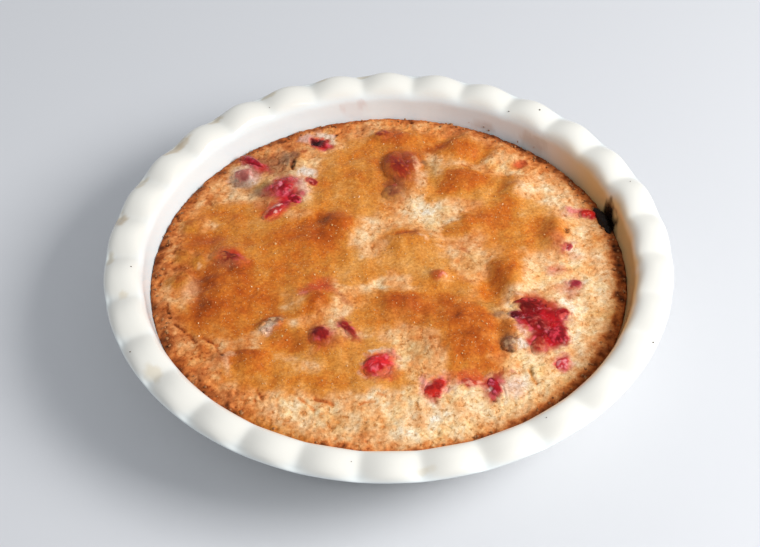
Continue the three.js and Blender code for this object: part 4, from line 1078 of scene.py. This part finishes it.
def make_nuts(look):
    """Each bit of nut is an egg with ridges: one minus the size of a noise, which folds it. It is
    stirred from seed coat and meat, dusted with flour, and fades into the crust at its outline."""
    material = toasted_nut()
    for number, row in enumerate(NUTS, 1):
        def swell(p, seed=120 + number):
            x, y, z = np.moveaxis(p, -1, 0)
            return 0.9 + 0.2 * (1 - np.abs(noise(x, y, z, 2.4, 2, seed))) ** 2
        rings, _ = egg(row, look.rows, look.columns, swell)
        points, quads, triangles = closed_shell(rings[0, 0], rings[1:-1], rings[-1, 0])
        x, y, z = points.T
        mottle = smooth(0.5 + 0.8 * noise(x, y, z, 2.2, 2, 130 + number))[:, None]
        tint = linear(SEED_COAT) + (linear(NUT_MEAT) - linear(SEED_COAT)) * mottle
        colour = crust_look(x, y)[0]
        outer = reach(x, y, row[0], row[1], row[2], row[3], row[5])
        outer = smooth((outer - 0.60 + 0.4 * noise(x, y, 0, 2.6, 2, 145)) / 0.36)
        more, strength = (0.3, 0.6) if number == FLOURY_NUT else (-0.1, 0.35)
        flour = smooth(noise(x, y, z, 3.0, 2, 140) + more)[:, None]
        tint += (linear(NUT_FLOUR) - tint) * flour * strength
        tint += (colour - tint) * outer[:, None]
        make_piece(f"walnut_piece_{number}", points, quads, triangles, {"tint": tint},
                   material, [f"nut_piece_{number}"])


def make_burnt_juice(look):
    """A flat egg bent along the wall, with blisters: its angle, radius and height each follow one
    axis of a ball, as in the part's source."""
    angle, radius, half_angle, half_width, half_depth, rise = BURNT
    way = ball_rings(2 * look.rows, 2 * look.columns)
    way = np.concatenate([[[[0, 0, 1]] * way.shape[1]], way, [[[0, 0, -1]] * way.shape[1]]])
    x, y, z = np.moveaxis(way, -1, 0)
    blister = 1 + 0.10 * noise(8 * x, 3 * y, 3 * z, 1.6, 2, 151)
    turn = angle + x * half_angle * blister
    r = radius - y * half_width * blister
    base = float(crust_height(np.array([radius * math.cos(angle)]),
                              np.array([radius * math.sin(angle)]))[0])
    top = base + rise - half_depth + z * half_depth * blister * (1 + 0.12 * np.sin(5 * x + 1.3))
    rings = np.stack([r * np.cos(turn), r * np.sin(turn), top], -1)
    points, quads, triangles = closed_shell(rings[0, 0], rings[1:-1], rings[-1, 0])
    make_piece("burnt_juice_lump", points, quads, triangles, {}, burnt_sugar(),
               ["burnt_juice"])


def random_turns(draw, count):
    """Random turning matrices: the columns come from the QR split of random square matrices."""
    turn, _ = np.linalg.qr(draw.normal(size=(count, 3, 3)))
    return turn


CUBE = np.array([(x, y, z) for z in (-1, 1) for y in (-1, 1) for x in (-1, 1)], float)
CUBE_FACES = np.array([(0, 2, 3, 1), (4, 5, 7, 6), (0, 1, 5, 4),
                       (2, 6, 7, 3), (0, 4, 6, 2), (1, 3, 7, 5)])


def grains(draw, places, sizes, stretch):
    """One small cornered grain at each place: a cube whose corners are moved at random, turned
    at random, and stretched."""
    count = len(places)
    corners = CUBE * (1 + 0.35 * draw.uniform(-1, 1, (count, 8, 3)))
    corners = corners * draw.uniform(1 - stretch, 1 + stretch, (count, 1, 3)) * sizes[:, None, None] / 2
    turns = random_turns(draw, count)
    turns *= np.sign(np.linalg.det(turns))[:, None, None]
    points = corners @ turns + places[:, None, :]
    faces = CUBE_FACES[None] + 8 * np.arange(count)[:, None, None]
    return points.reshape(-1, 3), faces.reshape(-1, 4)


# Sugar lies within the first radius and crumbs outside the second. For each 40 crumbs there is one
# more on the wall, at an angle with this mean and spread and between these heights.
SUGAR_RADIUS, CRUMB_RADIUS = 104, 112
WALL_SHARE, WALL_ANGLE, WALL_SPREAD, WALL_LOW, WALL_HIGH = 40, 58, 6, 32.4, 34.0


def make_sugar(look):
    """Undissolved sugar lies on the caramel skin: random places, kept where the skin is whole and
    dry, and more of them where a wide noise makes clumps."""
    draw = np.random.default_rng(7)
    r = SUGAR_RADIUS * np.sqrt(draw.uniform(0, 1, 4 * look.sugar_grains))
    a = draw.uniform(0, 2 * math.pi, len(r))
    x, y = r * np.cos(a), r * np.sin(a)
    _, crumb, wet = crust_look(x, y)
    clumps = 0.5 + 0.5 * noise(x, y, 0, 14, 2, 161)
    keep = np.flatnonzero(draw.uniform(0, 1, len(x)) < (1 - crumb) * (wet < 0.15) * clumps)
    keep = keep[:look.sugar_grains]
    x, y = x[keep], y[keep]
    z = crust_height(x, y) + crust_detail(x, y, crumb[keep], wet[keep]) + 0.05
    sizes = look.sugar_size * draw.uniform(0.5, 1.0, len(x)) ** 2 * 2
    points, faces = grains(draw, np.stack([x, y, z], -1), sizes, 0.3)
    piece = make_piece("sugar_grains", points, faces, np.empty((0, 3), int), {},
                       grain_material("white_sugar", "#d0904c", "#ecc48c", 0.3, 0.5), [])
    piece.data.polygons.foreach_set("use_smooth", np.zeros(len(faces), bool))


def make_crumbs(look):
    """Toasted crumbs lie at random on the pie's rim, and a few cling to the wall above it at the
    back right."""
    draw = np.random.default_rng(11)
    count = look.crumbs
    a = draw.uniform(0, 2 * math.pi, count)
    r = draw.uniform(CRUMB_RADIUS, PIE_EDGE_RADIUS - 0.8, count)
    x, y = r * np.cos(a), r * np.sin(a)
    z = crust_height(x, y) + 0.1
    on_wall = np.radians(draw.normal(WALL_ANGLE, WALL_SPREAD, count // WALL_SHARE))
    up = draw.uniform(WALL_LOW, WALL_HIGH, len(on_wall))
    wall = curve(FLOOR_EDGE, WALL_PULL, WALL_TOP, 60)
    out = np.interp(up, wall[:, 1], wall[:, 0]) - 0.15
    x = np.concatenate([x, out * np.cos(on_wall)])
    y = np.concatenate([y, out * np.sin(on_wall)])
    z = np.concatenate([z, up])
    sizes = look.crumb_size * draw.uniform(0.4, 1.2, len(x))
    sizes[count:] *= 0.55
    points, faces = grains(draw, np.stack([x, y, z], -1), sizes, 0.35)
    make_piece("toasted_crumbs", points, faces, np.empty((0, 3), int), {},
               grain_material("toasted_crumb", "#84502a", "#bc804c", 0.8, 1.5), [])


def make_pinholes(look):
    """Pits in the glaze show as dark grains, let into the flange's surface."""
    draw = np.random.default_rng(13)
    a, r, size = np.array(PINHOLES).T
    a = np.radians(a)
    section_r, section_h, share = dish_section()
    top = slice(np.argmax(section_h > 44), np.argmax(section_r > 139))
    wave = np.interp(r, section_r[top], share[top]) * dish_ripple(a)
    z = np.interp(r, section_r[top], section_h[top]) + look.ripple_depth * wave - 0.15
    r = r + look.scallop_depth * wave
    points, faces = grains(draw, np.stack([r * np.cos(a), r * np.sin(a), z], -1), size, 0.3)
    make_piece("glaze_specks", points, faces, np.empty((0, 3), int), {},
               grain_material("iron_speck", "#3c2c20", "#6c5640", 0.5, 0.5), [])


# The floor's half width and its drop below the dish, in metres, and how far off the key light is
FLOOR_HALF, FLOOR_DROP, KEY_DISTANCE = 3.0, 0.0001, 1.3
# What the camera looks at, in millimetres, and its roll in degrees, lens and sensor
TARGET = (-4.2, -12.4, 44.5)
ROLL, LENS, SENSOR = -0.94, 85, 36


def make_stage(look):
    """A pale floor, one large soft key light from the right, an even fill and the camera."""
    scene = bpy.context.scene
    scene.view_settings.view_transform = "Standard"
    mesh = bpy.data.meshes.new("pale_floor")
    corners = [(x * FLOOR_HALF, y * FLOOR_HALF, -FLOOR_DROP)
               for x, y in ((-1, -1), (1, -1), (1, 1), (-1, 1))]
    mesh.from_pydata(corners, [], [(0, 1, 2, 3)])
    material, _, shader = new_material("pale_floor", Roughness=0.5)
    shader.inputs["Base Color"].default_value = (*look.floor, 1)
    mesh.materials.append(material)
    floor = bpy.data.objects.new("pale_floor", mesh)
    scene.collection.objects.link(floor)

    world = bpy.data.worlds.new("studio")
    world.use_nodes = True
    world.node_tree.nodes["Background"].inputs[0].default_value = (0.96, 0.98, 1.0, 1)
    world.node_tree.nodes["Background"].inputs[1].default_value = look.fill_strength
    scene.world = world

    light = bpy.data.lights.new("key", "AREA")
    light.shape = "RECTANGLE"
    light.size, light.size_y = look.key_width, look.key_width * 0.8
    light.energy = look.key_power
    light.color = (1.0, 0.975, 0.94)
    key = bpy.data.objects.new("key", light)
    turn, up = math.radians(look.key_azimuth), math.radians(look.key_elevation)
    way = np.array([math.cos(turn) * math.cos(up), math.sin(turn) * math.cos(up), math.sin(up)])
    point_at(key, way * KEY_DISTANCE, -way)
    scene.collection.objects.link(key)

    lens = bpy.data.cameras.new("camera")
    lens.lens, lens.sensor_width = LENS, SENSOR
    lens.clip_start, lens.clip_end = 0.05, 20
    camera = bpy.data.objects.new("camera", lens)
    up = math.radians(look.camera_elevation)
    back = np.array([0, -math.cos(up), math.sin(up)])
    place = (np.array(TARGET) + look.camera_distance * back) * MM
    point_at(camera, place, -back, math.radians(ROLL))
    scene.collection.objects.link(camera)
    scene.camera = camera


def point_at(thing, place, way, roll=0.0):
    """Sets a thing at a place, looking along a way, rolled about that way."""
    forward = Vector(way).normalized()
    turn = forward.to_track_quat("-Z", "Y").to_matrix().to_4x4()
    thing.matrix_world = Matrix.Translation(Vector(place)) @ turn @ Matrix.Rotation(roll, 4, "Z")


def shade_property(name, text, shade):
    """A colour property whose default is an sRGB hex colour."""
    return FloatVectorProperty(name=name, description=text, subtype="COLOR", min=0, max=1,
                               default=tuple(linear(shade)))


class DishLook(PropertyGroup):
    """What a user would change on the dish"""
    glaze: shade_property("Glaze", "Colour of the glaze", "#ebeae4")
    gloss_roughness: FloatProperty(name="Gloss", description="Roughness of the glaze", default=0.16,
                                   min=0, max=1, subtype="FACTOR")
    ripple_depth: FloatProperty(name="Ripple depth", default=3.0, min=0, max=6,
                                description="Crest to groove of the rim, up and down, in mm")
    scallop_depth: FloatProperty(name="Scallop depth", default=1.2, min=0, max=3,
                                 description="Crest to groove of the rim, in and out, in mm")
    sectors: IntProperty(name="Sectors", description="Steps round the dish", default=720, min=120,
                         max=800)


class CrustLook(PropertyGroup):
    """What a user would change on the crust"""
    detail: FloatProperty(name="Detail", default=1.0, min=0, max=2, subtype="FACTOR",
                          description="Share of the fine relief: pores, cracks and torn edges")
    # the crumb's specks are partly painted shade and light that follow its grain
    speckle_and_shade: FloatProperty(name="Speckle", default=0.7, min=0, max=1, subtype="FACTOR",
                           description="How much lighter and darker the crumb's specks are")
    grain_depth: FloatProperty(name="Grain depth", default=0.34, min=0, max=2,
                               description="Depth of the crumb's grain, in mm")
    grid: IntProperty(name="Grid", description="Cells across the pie", default=296, min=40, max=300)


class FruitLook(PropertyGroup):
    """What a user would change on the berries, the nuts and the burnt juice"""
    fold_depth: FloatProperty(name="Fold depth", default=0.06, min=0, max=0.4, subtype="FACTOR",
                              description="Depth of a berry's folds, as a share of its size")
    crease_strength: FloatProperty(name="Creases", default=0.6, min=0, max=1, subtype="FACTOR",
                                   description="Strength of the finest creases")
    rows: IntProperty(name="Rows", description="Steps from top to bottom", default=24, min=8, max=48)
    columns: IntProperty(name="Columns", description="Steps round", default=40, min=12, max=96)


class SprinkleLook(PropertyGroup):
    """What a user would change on the loose grains"""
    sugar_grains: IntProperty(name="Sugar grains", description="How many", default=420, min=0, max=4000)
    sugar_size: FloatProperty(name="Sugar size", description="Size of a grain, in mm", default=0.34,
                              min=0.2, max=2)
    crumbs: IntProperty(name="Crumbs", description="How many on the rim", default=240, min=0, max=2000)
    crumb_size: FloatProperty(name="Crumb size", description="Size of a crumb, in mm", default=1.0,
                              min=0.3, max=4)


class StageLook(PropertyGroup):
    """What a user would change on the stage"""
    floor: shade_property("Floor", "Colour of the floor", "#d8dbe1")
    fill_strength: FloatProperty(name="Fill", description="Strength of the even light", default=0.50,
                                 min=0, max=3)
    key_power: FloatProperty(name="Key power", description="Power of the key light", default=16.8,
                             min=0, max=400, unit="POWER")
    key_azimuth: FloatProperty(name="Key azimuth", description="Degrees from +X", default=-15)
    key_elevation: FloatProperty(name="Key elevation", description="Degrees up", default=39)
    key_width: FloatProperty(name="Key width", description="Width of the key light", default=0.7,
                             min=0.05, max=3, unit="LENGTH")
    camera_distance: FloatProperty(name="Camera distance", description="In mm", default=874)
    camera_elevation: FloatProperty(name="Camera elevation", description="Degrees up", default=45.92)


class MakeDish(Operator):
    """Make the glazed stoneware dish"""
    bl_idname = "pie.make_dish"
    bl_label = "Dish"

    def execute(self, context):
        make_dish(context.scene.dish_look)
        return {"FINISHED"}


class MakeCrust(Operator):
    """Make the pie with its baked crust"""
    bl_idname = "pie.make_crust"
    bl_label = "Crust"

    def execute(self, context):
        make_crust(context.scene.crust_look)
        return {"FINISHED"}


class MakeBerries(Operator):
    """Make the cranberries that show"""
    bl_idname = "pie.make_berries"
    bl_label = "Cranberries"

    def execute(self, context):
        make_berries(context.scene.fruit_look)
        return {"FINISHED"}


class MakeNuts(Operator):
    """Make the bits of walnut"""
    bl_idname = "pie.make_nuts"
    bl_label = "Walnut pieces"

    def execute(self, context):
        make_nuts(context.scene.fruit_look)
        return {"FINISHED"}


class MakeBurntJuice(Operator):
    """Make the juice that burnt on the wall"""
    bl_idname = "pie.make_burnt_juice"
    bl_label = "Burnt juice"

    def execute(self, context):
        make_burnt_juice(context.scene.fruit_look)
        return {"FINISHED"}


class MakeSprinkles(Operator):
    """Make the sugar grains, the crumbs and the specks in the glaze"""
    bl_idname = "pie.make_sprinkles"
    bl_label = "Sugar, crumbs and specks"

    def execute(self, context):
        make_sugar(context.scene.sprinkle_look)
        make_crumbs(context.scene.sprinkle_look)
        make_pinholes(context.scene.dish_look)
        return {"FINISHED"}


class MakeStage(Operator):
    """Make the floor, the lights and the camera"""
    bl_idname = "pie.make_stage"
    bl_label = "Stage"

    def execute(self, context):
        make_stage(context.scene.stage_look)
        return {"FINISHED"}


class PiePanel(Panel):
    """Lists what makes the pie, in order"""
    bl_idname = "VIEW3D_PT_cranberry_pie"
    bl_label = "Cranberry pie"
    bl_space_type = "VIEW_3D"
    bl_region_type = "UI"
    bl_category = "Pie"

    def draw(self, context):
        for maker in MAKERS:
            self.layout.operator(maker.bl_idname)
        for key, group in LOOKS.items():
            box = self.layout.box()
            for name in group.__annotations__:
                box.prop(getattr(context.scene, key), name)


MAKERS = (MakeDish, MakeCrust, MakeBerries, MakeNuts, MakeBurntJuice, MakeSprinkles, MakeStage)
LOOKS = {"dish_look": DishLook, "crust_look": CrustLook, "fruit_look": FruitLook,
         "sprinkle_look": SprinkleLook, "stage_look": StageLook}


def register():
    """Registers the groups of properties, the operators and the panel."""
    for key, group in LOOKS.items():
        bpy.utils.register_class(group)
        setattr(bpy.types.Scene, key, PointerProperty(type=group))
    for maker in (*MAKERS, PiePanel):
        bpy.utils.register_class(maker)


def unregister():
    """Takes away what register added."""
    for maker in (PiePanel, *reversed(MAKERS)):
        bpy.utils.unregister_class(maker)
    for key, group in LOOKS.items():
        delattr(bpy.types.Scene, key)
        bpy.utils.unregister_class(group)


def main():
    """Makes every piece in order."""
    register()
    bpy.ops.pie.make_dish()
    bpy.ops.pie.make_crust()
    bpy.ops.pie.make_berries()
    bpy.ops.pie.make_nuts()
    bpy.ops.pie.make_burnt_juice()
    bpy.ops.pie.make_sprinkles()
    bpy.ops.pie.make_stage()
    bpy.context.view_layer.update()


if __name__ == "__main__":
    main()
